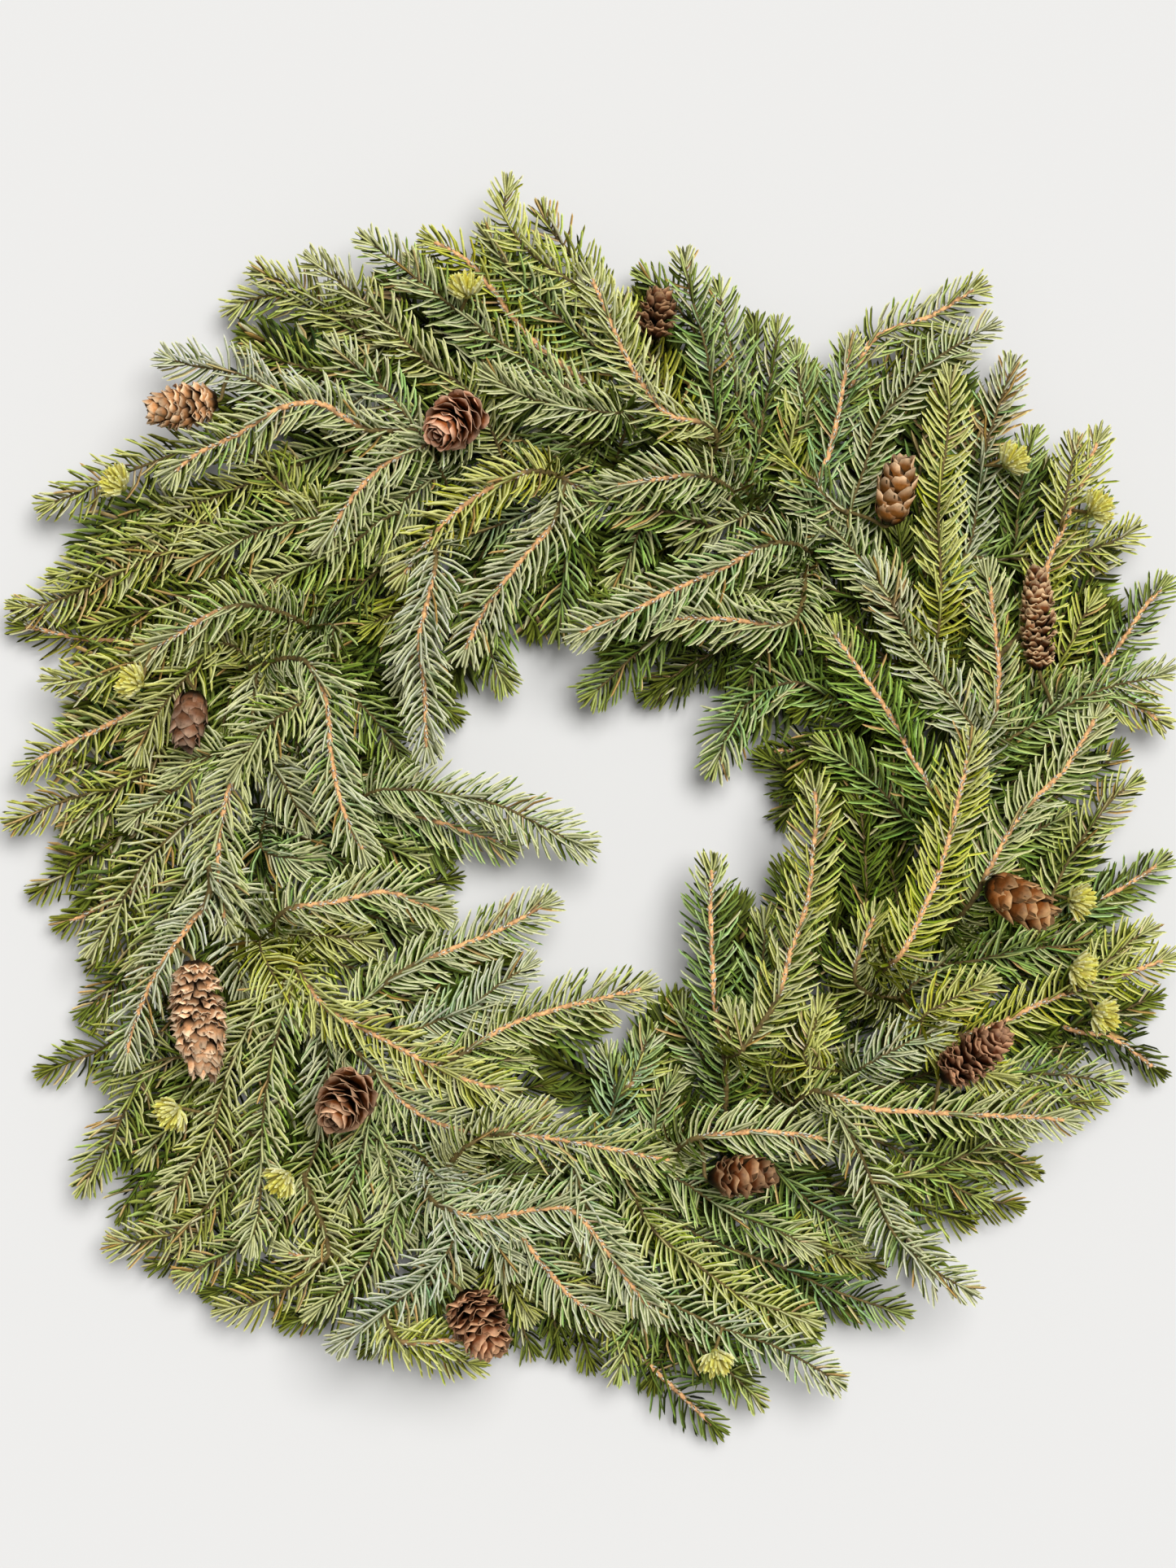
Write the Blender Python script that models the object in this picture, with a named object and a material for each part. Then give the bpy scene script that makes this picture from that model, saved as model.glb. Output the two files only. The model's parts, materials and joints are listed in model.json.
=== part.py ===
"""White spruce wreath: a wire ring with branches of needles wound onto it, cones and pale young buds.

Lies flat, +Z up. Lengths in the tables are millimetres, measured from the middle of the whole wreath:
X to the right and Y up as it is seen from above.
"""
import math

import bmesh
import bpy
import numpy as np
from mathutils import Matrix, Vector
from mathutils.bvhtree import BVHTree

MM = 0.001

# Ring
RING_CENTRE = (8.0, -12.0)
RING_RADIUS = 200.0
RING_WIRE = 2.4
RING_CORNERS = 48
RING_SIDES = 6

# Hook: the end of each branch's wire, turned once round the ring
HOOK_WIRE = 0.9
HOOK_REACH = 4.1
HOOK_ADVANCE = 5.0
HOOK_TURN = (60, 0, -60, -120, -180, -240)
RING_HEIGHT = (HOOK_REACH + HOOK_WIRE / 2) * math.sin(math.radians(60))

# Height of a spray at its start and at its tip, by layer from the surface up
LAYER_START = (15.0, 33.0, 53.0, 74.0)
LAYER_TIP = (12.0, 22.0, 38.0, 56.0)
LOWEST_CORE = 7.0

# Stem of a spray and its whorls of three needles
STEM_ROOT = 0.7
STEM_THICK = 1.5
STEM_THIN = 0.8
WHORL_FIRST = 15.0
LEADER_FIRST = 24.0
WHORL_LAST = 7.0
WHORL_PITCH = 32.0
LEAD_PITCH = 60.0
WHORL_BAND = 2.4
WHORL_TWIST = 50.0
NEEDLE_LENGTH = 22.0
NEEDLE_LEAN = 42.0
END_NEEDLE = 13.0
FLOOR_GAP = 1.2
LINE_STEP = 2.0

# Clear space
ROD_LIMIT = 12000
ROOM_ENOUGH = 5.0
CORE_CLEAR = 1.2
NEEDLE_CLEAR = 0.45
SEAT = 0.3
LIFT_STEP = 3.0
LIFT_REACH = 30.0
LIFTS = 19

# Where a spray may leave its branch: not this near the tip, and what its turns cost
FORK_FROM_TIP = 14.0
FORK_STEP = 3.0
FORK_NEAREST = 6.0
TURN_COST = 3.0
BRANCH_SHARE = 0.9

# A leader leaves its hook upward
LEADER_RISE = 7.0
LEADER_START = 5.0
HOOK_ROOM = 0.2

# Cones and buds
SCALE_COLUMNS = 6
SCALE_ROWS = 7
SCALE_RISE = 2.6
SCALE_SLANT = 2.0
CONE_TAPER = 0.18
STALK = 0.8
STALK_INSIDE = 4.0
STALK_SEARCH = 6.0
STALK_STEP = 0.05
BUD_CORE = 4.4
BUD_NEEDLE = 9.5
BUD_HEAD = 11.0
BUD_LOWEST_NEEDLE = -0.3
BUD_NEEDLE_RISE = 0.5

# Needle colours, linear
TINTS = {
    "deep": (0.040, 0.075, 0.030),
    "green": (0.085, 0.140, 0.055),
    "blue": (0.100, 0.160, 0.095),
    "pale": (0.160, 0.220, 0.110),
    "olive": (0.130, 0.150, 0.045),
    "lime": (0.230, 0.290, 0.065),
}

# Each branch: name, angle on the ring in degrees, then its sprays. A spray is its tint, its layer and
# the points that its stem passes through, from its start to its tip. The first spray is the leader.
BRANCHES = (
    ("branch_top_1", 62, (
        ("deep", 2, (74, 200), (70, 224), (65, 256), (57, 286), (52, 316)),
        ("deep", 1, (62, 262), (48, 282), (24, 305)),
        ("deep", 1, (95, 200), (98, 220), (104, 250), (107, 278)),
        ("pale", 0, (88, 215), (92, 240), (95, 262), (92, 283)))),
    ("branch_top_2", 74, (
        ("olive bark", 3, (65, 210), (43, 216), (32, 229), (17, 256), (7, 281), (-4, 303)),
        ("lime", 1, (48, 225), (38, 245), (28, 268), (16, 291)),
        ("olive", 1, (30, 250), (12, 278), (3, 292), (-9, 309), (-23, 328), (-28, 345)),
        ("lime", 2, (18, 262), (0, 285), (-18, 297), (-36, 312), (-46, 330), (-41, 356)))),
    ("branch_top_3", 88, (
        ("deep", 2, (20, 243), (1, 257), (-22, 277), (-45, 301), (-62, 328)),
        ("green", 2, (15, 214), (-6, 229), (-35, 248), (-64, 269), (-93, 292), (-130, 322)),
        ("green", 3, (15, 216), (-11, 220), (-29, 224), (-45, 232), (-60, 246)),
        ("lime bark", 1, (0, 235), (-24, 253), (-42, 273), (-53, 288), (-67, 304), (-98, 321)))),
    ("branch_top_4", 104, (
        ("olive", 2, (-68, 232), (-93, 250), (-115, 273), (-133, 288), (-161, 311)),
        ("green bark", 3, (-88, 199), (-105, 192), (-125, 175), (-143, 150), (-152, 138)),
        ("deep", 1, (-60, 255), (-75, 275), (-90, 296), (-102, 316)),
        ("olive", 1, (-118, 260), (-145, 280), (-170, 294), (-193, 304)),
        ("olive", 1, (-105, 252), (-150, 278), (-178, 287), (-208, 276)))),
    ("branch_top_5", 114, (
        ("green", 3, (-92, 205), (-115, 233), (-133, 247), (-148, 262)),
        ("green", 2, (-88, 180), (-101, 170), (-108, 150), (-118, 128)),
        ("deep", 0, (-130, 262), (-150, 275), (-167, 258)),
        ("blue", 2, (-135, 222), (-168, 228), (-198, 242), (-217, 245), (-244, 253)),
        ("green bark", 3, (-120, 207), (-150, 222), (-165, 220), (-192, 205), (-222, 190),
         (-236, 175)))),
    ("branch_inner_1", 68, (
        ("green bark", 3, (125, 162), (106, 172), (60, 182), (17, 178), (4, 178)),
        ("pale", 2, (112, 167), (87, 161), (61, 153), (42, 146)),
        ("green", 2, (40, 165), (9, 170), (-10, 163), (-32, 157)),
        ("deep", 0, (45, 148), (3, 142)))),
    ("branch_inner_2", 50, (
        ("green bark", 3, (95, 143), (75, 132), (48, 120), (22, 107), (-17, 92)),
        ("green bark", 3, (131, 98), (106, 100), (80, 103), (48, 104), (33, 102)),
        ("deep", 1, (45, 100), (35, 93), (12, 72), (-6, 56)),
        ("deep", 0, (62, 98), (57, 85), (49, 62)),
        ("deep", 0, (80, 100), (70, 64)))),
    ("branch_inner_3", 97, (
        ("green bark", 2, (-44, 224), (-32, 203), (-13, 182), (8, 170)),
        ("deep", 1, (-10, 165), (-13, 132), (-18, 88)),
        ("pale bark", 2, (-18, 160), (-37, 137), (-57, 110), (-73, 75)),
        ("deep", 1, (-45, 118), (-55, 95), (-41, 60)),
        ("lime bark", 3, (-32, 184), (-57, 173), (-82, 153), (-100, 130), (-108, 117)),
        ("blue", 1, (-25, 168), (-50, 158), (-80, 145)))),
    ("branch_inner_4", 123, (
        ("pale bark", 3, (-83, 135), (-88, 112), (-92, 95), (-90, 70), (-88, 20)),
        ("pale bark", 2, (-92, 100), (-98, 82), (-104, 57)),
        ("lime", 1, (-100, 116), (-133, 98)),
        ("deep", 0, (-88, 62), (-67, 45)))),
    ("branch_left_1", 133, (
        ("green", 2, (-150, 160), (-175, 155), (-200, 145), (-232, 133)),
        ("olive", 1, (-205, 203), (-245, 192), (-283, 177), (-313, 166)),
        ("deep", 0, (-245, 170), (-262, 162), (-279, 152)),
        ("lime", 2, (-148, 168), (-172, 164)),
        ("olive", 1, (-222, 160), (-245, 150), (-268, 139), (-288, 131), (-306, 127)),
        ("deep", 1, (-215, 150), (-242, 140), (-275, 125), (-308, 113), (-330, 112)),
        ("deep bark", 0, (-215, 100), (-253, 95), (-282, 95), (-315, 102), (-330, 106)))),
    ("branch_left_2", 147, (
        ("green bark", 3, (-95, 145), (-128, 133), (-160, 125), (-195, 110), (-235, 90), (-252, 82)),
        ("lime", 2, (-215, 95), (-245, 83), (-270, 73), (-308, 71)),
        ("blue", 2, (-118, 115), (-140, 100), (-150, 78)),
        ("olive", 2, (-160, 112), (-168, 92), (-180, 59)))),
    ("branch_left_3", 157, (
        ("olive", 2, (-205, 90), (-218, 77), (-232, 60), (-242, 47), (-252, 20)),
        ("deep bark", 1, (-232, 63), (-253, 53), (-277, 42), (-307, 27), (-323, 15)),
        ("deep", 1, (-240, 28), (-262, 11), (-282, 7), (-312, -4), (-330, -13)),
        ("olive", 1, (-247, 38), (-258, 18), (-268, 6), (-282, -5), (-299, -15)),
        ("green bark", 3, (-150, 76), (-143, 60), (-140, 30), (-134, 0), (-125, -20), (-116, -34)),
        ("green", 3, (-150, 62), (-170, 48), (-187, 28), (-198, 13)),
        ("pale", 2, (-183, 38), (-172, 20), (-160, -2), (-155, -19)),
        ("deep", 0, (-130, 80), (-112, 62), (-98, 42)))),
    ("branch_left_4", 169, (
        ("green bark", 3, (-190, 25), (-196, 10), (-202, -20), (-202, -45), (-196, -76)),
        ("green", 2, (-205, 30), (-225, 12), (-243, 0), (-263, -12)),
        ("deep", 0, (-243, -10), (-265, -18), (-281, -28), (-295, -38), (-318, -52)),
        ("green", 2, (-195, 45), (-215, 28), (-240, 16)))),
    ("branch_left_5", 176, (
        ("green bark", 1, (-115, 0), (-93, -5), (-68, -13), (-48, -20), (-34, -27)),
        ("green", 2, (-115, 10), (-80, 8), (-48, 1), (-20, -13), (9, -26)),
        ("green", 1, (-122, -16), (-86, -31)),
        ("green", 2, (-178, -24), (-143, -29)),
        ("deep", 0, (-125, 28), (-97, 31)),
        ("deep", 0, (-105, -42), (-68, -38)))),
    ("branch_left_6", 183, (
        ("olive", 2, (-215, -5), (-235, -20), (-250, -38), (-262, -60), (-281, -86)),
        ("olive bark", 0, (-240, -40), (-265, -51), (-290, -63), (-305, -68)),
        ("green", 2, (-213, -30), (-228, -50), (-240, -75), (-253, -101)),
        ("deep", 0, (-250, -50), (-268, -78), (-285, -94)),
        ("pale bark", 3, (-208, -50), (-217, -63), (-235, -88), (-245, -108), (-253, -133), (-252, -148)),
        ("olive", 0, (-255, -80), (-268, -108), (-281, -130)),
        ("deep", 0, (-238, -112), (-258, -126), (-278, -138), (-303, -148), (-312, -155)),
        ("pale", 2, (-188, -60), (-193, -83), (-189, -112)))),
    ("branch_left_7", 197, (
        ("lime", 3, (-182, -65), (-175, -85), (-167, -98), (-158, -110), (-147, -123)),
        ("green bark", 3, (-176, -32), (-173, -45), (-163, -55), (-138, -51), (-110, -46), (-90, -53),
         (-69, -62)),
        ("lime", 2, (-148, -70), (-111, -77)),
        ("olive", 1, (-248, -148), (-256, -165), (-266, -185), (-277, -203), (-287, -221)),
        ("olive", 2, (-200, -150), (-208, -180), (-220, -200), (-240, -228)))),
    ("branch_left_8", 204, (
        ("lime bark", 3, (-157, -90), (-145, -107), (-120, -122), (-93, -137), (-65, -150), (-33, -158)),
        ("green", 3, (-162, -100), (-170, -125), (-176, -155), (-179, -190), (-180, -215), (-188, -250)),
        ("pale", 2, (-148, -112), (-143, -135), (-146, -155), (-152, -186)),
        ("green bark", 2, (-95, -86), (-73, -77), (-48, -67), (-25, -54), (-13, -47)),
        ("blue", 2, (-90, -120), (-65, -110), (-52, -100), (-40, -92), (-24, -83)))),
    ("branch_bottom_1", 212, (
        ("deep", 0, (-212, -172), (-232, -188), (-252, -210), (-266, -238)),
        ("olive", 1, (-205, -212), (-215, -225), (-232, -238), (-252, -243), (-275, -244)),
        ("olive", 1, (-183, -190), (-193, -208), (-205, -225), (-235, -252)),
        ("green bark", 3, (-120, -140), (-105, -158), (-88, -171), (-70, -178), (-48, -182)),
        ("green", 2, (-118, -160), (-122, -180), (-130, -205), (-138, -236)),
        ("green bark", 2, (-68, -135), (-48, -122), (-20, -112), (10, -105), (43, -98)))),
    ("branch_bottom_2", 222, (
        ("green", 1, (-175, -232), (-200, -248), (-235, -267)),
        ("green", 0, (-140, -250), (-170, -262), (-211, -264)),
        ("olive bark", 2, (-125, -252), (-145, -249), (-177, -244)),
        ("green", 2, (-105, -222), (-114, -236), (-121, -250), (-133, -264), (-160, -286)),
        ("green", 2, (-112, -185), (-109, -205), (-108, -225), (-100, -250)))),
    ("branch_bottom_3", 232, (
        ("blue", 3, (-75, -240), (-93, -260), (-115, -279), (-146, -301)),
        ("lime", 1, (-108, -287), (-90, -300), (-75, -308), (-53, -314)),
        ("lime bark", 3, (-104, -290), (-82, -292), (-54, -290)),
        ("blue", 2, (-60, -215), (-52, -238), (-35, -263)))),
    ("branch_bottom_4", 240, (
        ("green bark", 3, (-80, -218), (-55, -224), (-30, -220), (-10, -220), (5, -236), (20, -257),
         (42, -286)),
        ("green bark", 2, (-50, -218), (-37, -236), (-22, -256), (-8, -272), (22, -289)),
        ("olive", 1, (-48, -252), (-28, -293)),
        ("deep", 0, (-25, -268), (-18, -304)),
        ("olive bark", 3, (-62, -182), (-54, -178), (-39, -173), (-15, -163)))),
    ("branch_bottom_5", 248, (
        ("green bark", 3, (-45, -178), (-22, -180), (5, -185), (32, -191), (58, -197)),
        ("green", 1, (-75, -198), (-52, -203), (-20, -202)),
        ("green", 2, (20, -255), (45, -273), (73, -287), (105, -299), (147, -324)),
        ("deep bark", 0, (8, -276), (22, -300), (38, -317), (55, -333), (80, -357)),
        ("deep", 1, (35, -283), (62, -302), (82, -318), (101, -339)))),
    ("branch_bottom_6", 258, (
        ("green", 1, (5, -198), (30, -217), (58, -237), (95, -256)),
        ("blue", 1, (15, -160), (7, -129)),
        ("olive bark", 1, (20, -158), (32, -146), (46, -134)),
        ("blue", 1, (24, -152), (38, -117)),
        ("lime", 2, (38, -235), (60, -252), (88, -272), (110, -280), (134, -288)),
        ("deep", 1, (85, -248), (105, -255), (138, -270), (160, -278), (185, -286)),
        ("green", 2, (50, -205), (73, -220), (100, -232), (132, -248)),
        ("olive", 1, (115, -238), (140, -250), (162, -257)))),
    ("branch_bottom_7", 280, (
        ("green bark", 3, (60, -180), (90, -177), (115, -179), (151, -187)),
        ("olive", 0, (165, -215), (195, -227), (223, -236)),
        ("deep", 0, (90, -215), (115, -210), (140, -205)),
        ("deep", 1, (160, -185), (180, -195), (205, -212), (229, -223)))),
    ("branch_right_1", 290, (
        ("deep bark", 2, (75, -135), (70, -107), (69, -81), (68, -50), (71, -21)),
        ("deep", 2, (90, -125), (95, -97), (98, -73), (97, -51)),
        ("lime", 3, (84, -132), (75, -103)),
        ("blue", 1, (62, -135), (47, -102)),
        ("olive bark", 3, (103, -105), (110, -82), (120, -52), (124, -20), (126, 0), (122, 23)))),
    ("branch_right_2", 300, (
        ("green bark", 3, (130, -155), (150, -163), (180, -166), (211, -168), (245, -170), (276, -173)),
        ("pale", 3, (118, -147), (130, -160), (143, -177), (155, -203), (167, -232), (185, -250),
         (219, -271)),
        ("olive", 1, (180, -205), (205, -196), (222, -189), (256, -177)),
        ("olive", 0, (190, -215), (220, -220), (250, -226)),
        ("pale", 0, (215, -200), (238, -200), (255, -205)))),
    ("branch_right_3", 312, (
        ("blue", 3, (132, -150), (156, -138), (178, -127), (207, -116)),
        ("lime", 3, (118, -135), (124, -120), (131, -100)),
        ("lime", 2, (215, -145), (242, -152)),
        ("green", 1, (230, -148), (272, -150), (305, -157)),
        ("olive", 1, (230, -156), (255, -162), (275, -165), (293, -167)))),
    ("branch_right_4", 322, (
        ("lime bark", 2, (205, -125), (225, -120), (250, -108), (280, -98), (310, -88), (332, -80)),
        ("lime", 3, (185, -112), (200, -104), (228, -90)),
        ("lime", 2, (270, -99), (295, -78), (320, -62)),
        ("deep bark", 0, (255, -118), (272, -125), (295, -130), (320, -148), (328, -156)),
        ("deep", 0, (275, -121), (300, -114), (328, -103)))),
    ("branch_right_5", 331, (
        ("olive bark", 3, (130, -115), (138, -103), (146, -88), (155, -65), (163, -50)),
        ("lime bark", 3, (158, -100), (170, -78), (180, -58), (190, -35), (197, -12), (202, 8),
         (207, 28), (211, 48)),
        ("pale", 1, (180, -100), (200, -85), (222, -72)))),
    ("branch_right_6", 341, (
        ("green bark", 3, (215, -42), (222, -28), (240, 0), (262, 22), (275, 42), (287, 62)),
        ("deep bark", 1, (240, -82), (262, -72), (280, -55), (300, -45), (332, -25)),
        ("olive", 1, (255, -60), (268, -30), (283, -8), (297, 8), (315, 18)),
        ("deep", 2, (155, -75), (154, -45), (153, -15), (148, 20)),
        ("green", 1, (232, -20), (252, -12), (275, 0)))),
    ("branch_right_7", 352, (
        ("green bark", 3, (187, 10), (178, 27), (165, 52), (155, 67), (145, 82), (137, 94), (130, 108)),
        ("green", 2, (175, -5), (160, 12), (140, 28), (122, 40)),
        ("deep", 1, (205, -15), (222, 12), (240, 38), (255, 62)),
        ("green", 0, (262, 5), (285, 20), (308, 38)))),
    ("branch_right_8", 2, (
        ("pale", 3, (210, 45), (197, 62), (183, 82), (172, 103), (162, 122), (150, 140)),
        ("pale", 1, (135, 62), (118, 70), (100, 66), (84, 52), (74, 30), (68, 12)),
        ("deep bark", 0, (150, 22), (128, 30), (108, 32), (92, 25)),
        ("deep", 1, (172, -30), (174, -10), (175, 12)),
        ("deep bark", 1, (270, 52), (280, 65), (290, 82), (302, 98), (312, 113), (323, 125), (330, 133)),
        ("olive bark", 1, (280, 62), (303, 58), (330, 42)),
        ("green", 2, (292, 68), (310, 72), (328, 80)),
        ("deep", 2, (215, 25), (235, 45), (258, 62), (280, 75)))),
    ("branch_right_9", 18, (
        ("green bark", 3, (215, 30), (222, 50), (225, 72), (224, 90), (222, 113), (219, 140)),
        ("lime", 1, (255, 70), (270, 92), (280, 112), (287, 125)),
        ("deep", 0, (268, 100), (280, 118), (292, 130)),
        ("lime bark", 2, (250, 112), (255, 137), (262, 153), (272, 175), (279, 193), (287, 216)),
        ("lime", 2, (262, 160), (267, 185), (273, 212)))),
    ("branch_right_10", 26, (
        ("lime", 3, (192, 100), (193, 130), (192, 155), (193, 175), (197, 200), (199, 225), (200, 247)),
        ("pale", 1, (214, 150), (218, 175), (222, 200), (229, 222), (236, 242), (242, 258)),
        ("deep", 1, (236, 140), (240, 165), (244, 190), (252, 218)),
        ("olive", 1, (262, 138), (275, 143), (292, 148), (304, 155), (312, 163)),
        ("blue", 0, (268, 150), (285, 168), (297, 180)))),
    ("branch_right_11", 34, (
        ("green", 3, (165, 120), (150, 138), (135, 155), (120, 172), (108, 190)),
        ("green", 2, (200, 75), (195, 97), (193, 130), (188, 155)),
        ("olive", 1, (215, 100), (208, 118), (203, 135), (198, 152)),
        ("deep", 1, (145, 118), (125, 128), (105, 135)))),
    ("branch_right_12", 43, (
        ("pale", 2, (145, 165), (152, 185), (162, 215), (172, 227), (188, 245), (205, 257),
         (232, 273)),
        ("deep bark", 2, (128, 175), (134, 198), (139, 220), (143, 243), (148, 268)),
        ("olive bark", 1, (143, 225), (150, 243), (160, 262), (172, 268), (192, 275), (208, 285),
         (228, 297)),
        ("deep", 0, (165, 238), (180, 255), (200, 268)),
        ("lime", 1, (112, 200), (120, 225), (128, 252)),
        ("deep", 0, (175, 160), (180, 182), (184, 202)))),
)

# Each cone: name, middle, height above the surface, way its tip points seen from above (degrees),
# its slope up at the tip (degrees), length and width.
CONES = (
    ("cone_1", (-222, 221), 62, 190, 10, 38, 27),
    ("cone_2", (-72, 211), 84, 225, 42, 34, 31),
    ("cone_3", (38, 273), 46, 80, 5, 28, 25),
    ("cone_4", (168, 172), 74, 80, 28, 38, 30),
    ("cone_5", (246, 104), 68, 92, 3, 58, 25),
    ("cone_6", (-218, 50), 68, 262, 12, 30, 25),
    ("cone_7", (232, -49), 84, 330, 22, 38, 29),
    ("cone_8", (-211, -114), 86, 277, 4, 64, 31),
    ("cone_9", (-131, -158), 86, 235, 45, 34, 31),
    ("cone_10", (210, -134), 84, 38, 6, 45, 27),
    ("cone_11", (82, -200), 82, 5, 12, 34, 27),
    ("cone_12", (-60, -280), 58, 300, 20, 38, 33),
)

# Each bud: name, middle and height above the surface
BUDS = (
    ("bud_1", (-66, 282), 64),
    ("bud_2", (-258, 178), 43),
    ("bud_3", (-245, 68), 70),
    ("bud_4", (232, 190), 47),
    ("bud_5", (277, 163), 62),
    ("bud_6", (268, -51), 47),
    ("bud_7", (267, -88), 62),
    ("bud_8", (280, -113), 57),
    ("bud_9", (70, -300), 59),
    ("bud_10", (-225, -165), 64),
    ("bud_11", (-164, -200), 76),
)


def unit(vector):
    return vector / np.linalg.norm(vector)


def segment_gaps(start, end, starts, ends, radii, reach):
    """Least room between one tapered rod and each of many, all given by their ends and radii."""
    along = end - start
    others = ends - starts
    offset = start - starts
    a = along @ along
    e = np.einsum("ij,ij->i", others, others)
    f = np.einsum("ij,ij->i", others, offset)
    c = offset @ along
    b = others @ along
    spread = a * e - b * b
    s = np.where(spread > 1e-9, np.clip((b * f - c * e) / np.where(spread > 1e-9, spread, 1), 0, 1), 0)
    t = np.clip((b * s + f) / e, 0, 1)
    s = np.clip((b * t - c) / a, 0, 1)
    near = start + s[:, None] * along
    far = starts + t[:, None] * others
    thick = reach[0] + (reach[1] - reach[0]) * s
    other_thick = radii[:, 0] + (radii[:, 1] - radii[:, 0]) * t
    return np.linalg.norm(near - far, axis=1) - thick - other_thick


class Space:
    """What has been placed so far, as tapered rods."""

    def __init__(self):
        self.starts = np.zeros((ROD_LIMIT, 3))
        self.ends = np.zeros((ROD_LIMIT, 3))
        self.radii = np.zeros((ROD_LIMIT, 2))
        self.owners = np.zeros(ROD_LIMIT, int)
        self.count = 0
        self.cores = 0

    def add(self, start, end, radii, owner):
        self.starts[self.count] = start
        self.ends[self.count] = end
        self.radii[self.count] = radii
        self.owners[self.count] = owner
        self.count += 1

    def room(self, start, end, radii, skipped=()):
        """Room round a rod, leaving out the numbered rods that are skipped."""
        count = self.count
        starts = self.starts[:count]
        ends = self.ends[:count]
        middles = (starts + ends) / 2
        halves = np.linalg.norm(ends - starts, axis=1) / 2 + self.radii[:count].max(axis=1)
        reach = np.linalg.norm(end - start) / 2 + max(radii) + ROOM_ENOUGH
        close = np.linalg.norm(middles - (start + end) / 2, axis=1) < halves + reach
        close[list(skipped)] = False
        if not close.any():
            return ROOM_ENOUGH
        return segment_gaps(start, end, starts[close], ends[close], self.radii[:count][close], radii).min()

    def near_fork(self, owner, fork):
        """Numbers of the owner's rods that lie round its fork."""
        count = self.count
        near = np.minimum(np.linalg.norm(self.starts[:count] - fork, axis=1),
                          np.linalg.norm(self.ends[:count] - fork, axis=1)) < LIFT_REACH
        return np.flatnonzero((self.owners[:count] == owner) & near)


def smooth_line(points, step):
    """Points about a step apart on the smooth curve through the given points."""
    points = np.array(points, float)
    knots = np.concatenate([[0], np.cumsum(np.linalg.norm(np.diff(points, axis=0), axis=1))])
    slopes = np.gradient(points, knots, axis=0)
    count = max(2, round(knots[-1] / step))
    where = np.linspace(0, knots[-1], count + 1)
    index = np.clip(np.searchsorted(knots, where, side="right") - 1, 0, len(points) - 2)
    width = (knots[index + 1] - knots[index])[:, None]
    u = (where - knots[index])[:, None] / width
    return ((2 * u**3 - 3 * u**2 + 1) * points[index] + (u**3 - 2 * u**2 + u) * width * slopes[index]
            + (3 * u**2 - 2 * u**3) * points[index + 1] + (u**3 - u**2) * width * slopes[index + 1])


def shortened(line, cut):
    along = distances(line)
    return line[along < along[-1] - cut]


def distances(line):
    return np.concatenate([[0], np.cumsum(np.linalg.norm(np.diff(line, axis=0), axis=1))])


def point_at(line, along, distance):
    return np.array([np.interp(distance, along, line[:, axis]) for axis in range(3)])


def ring_place(angle):
    """Middle of the ring's wire at an angle, with the ways along it and outward."""
    corner = 360 / RING_CORNERS
    bearing = (math.floor(angle / corner) + 0.5) * corner
    radius = RING_RADIUS * math.cos(math.radians(corner / 2)) / math.cos(math.radians(angle - bearing))
    turn = math.radians(angle)
    facing = math.radians(bearing)
    middle = np.array([RING_CENTRE[0] + radius * math.cos(turn), RING_CENTRE[1] + radius * math.sin(turn),
                       RING_HEIGHT])
    return (middle, np.array([-math.sin(facing), math.cos(facing), 0.0]),
            np.array([math.cos(facing), math.sin(facing), 0.0]))


def hook_sections(angle):
    """Centre and outward way of the hook wire at each of its bends."""
    middle, tangent, outward = ring_place(angle)
    sections = []
    for turn in HOOK_TURN:
        way = outward * math.cos(math.radians(turn)) + np.array([0, 0, math.sin(math.radians(turn))])
        advance = ((HOOK_TURN[0] - turn) / 360 - 0.5) * HOOK_ADVANCE
        sections.append((middle + way * HOOK_REACH + tangent * advance, way))
    return sections, tangent


class Spray:
    """A needled stem: its tint, its stations from root to tip and their radii."""

    def __init__(self, branch, tint, layer, stations, radii, rods):
        self.branch = branch
        self.tint = tint
        self.layer = layer
        self.stations = stations
        self.radii = radii
        self.rods = rods
        self.needles = []


def whorl_places(length, lead, first):
    """Distances of the whorls from the root: even towards the tip, wide apart on the lead-in."""
    place = length - WHORL_LAST
    count = max(1, round((place - max(lead, first)) / WHORL_PITCH))
    pitch = (place - max(lead, first)) / count
    places = []
    while place > first:
        places.insert(0, place)
        place -= pitch if place - pitch > lead - 1 else LEAD_PITCH
    return places or [length * 0.6]


def lay_stations(line, lead, thick, bend):
    """Stations of a stem: its root, a leader's first bend, the edges of each whorl's band, its tip."""
    along = distances(line)
    length = along[-1]
    places = [0.0]
    for centre in whorl_places(length, lead, WHORL_FIRST if bend is None else LEADER_FIRST):
        places += [centre - WHORL_BAND / 2, centre + WHORL_BAND / 2]
    places.append(length)
    stations = [point_at(line, along, place) for place in places]
    radii = [thick + (STEM_THIN - thick) * place / length for place in places]
    radii[0] = STEM_ROOT
    if bend is not None:
        stations.insert(1, bend)
        radii.insert(1, thick)
    return stations, radii


def heights(points, layer, root):
    """The points of a spray with their heights, from its root on."""
    plan = np.array(points, float)
    along = np.concatenate([[0], np.cumsum(np.linalg.norm(np.diff(plan, axis=0), axis=1))])
    part = along / along[-1]
    rise = LAYER_START[layer] + (LAYER_TIP[layer] - LAYER_START[layer]) * part ** 1.5
    return [root] + [np.array([x, y, z]) for (x, y), z in zip(plan, rise)]


def lifted(line, lift):
    along = distances(line)
    share = np.clip(along / LIFT_REACH, 0, 1)
    moved = line.copy()
    moved[:, 2] = np.maximum(moved[:, 2] + lift * share * share * (3 - 2 * share),
                             np.minimum(moved[:, 2], LOWEST_CORE))
    return moved


def end_point(stations):
    """Tip of the needle that ends a stem."""
    return stations[-1] + unit(stations[-1] - stations[-2]) * END_NEEDLE


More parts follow.
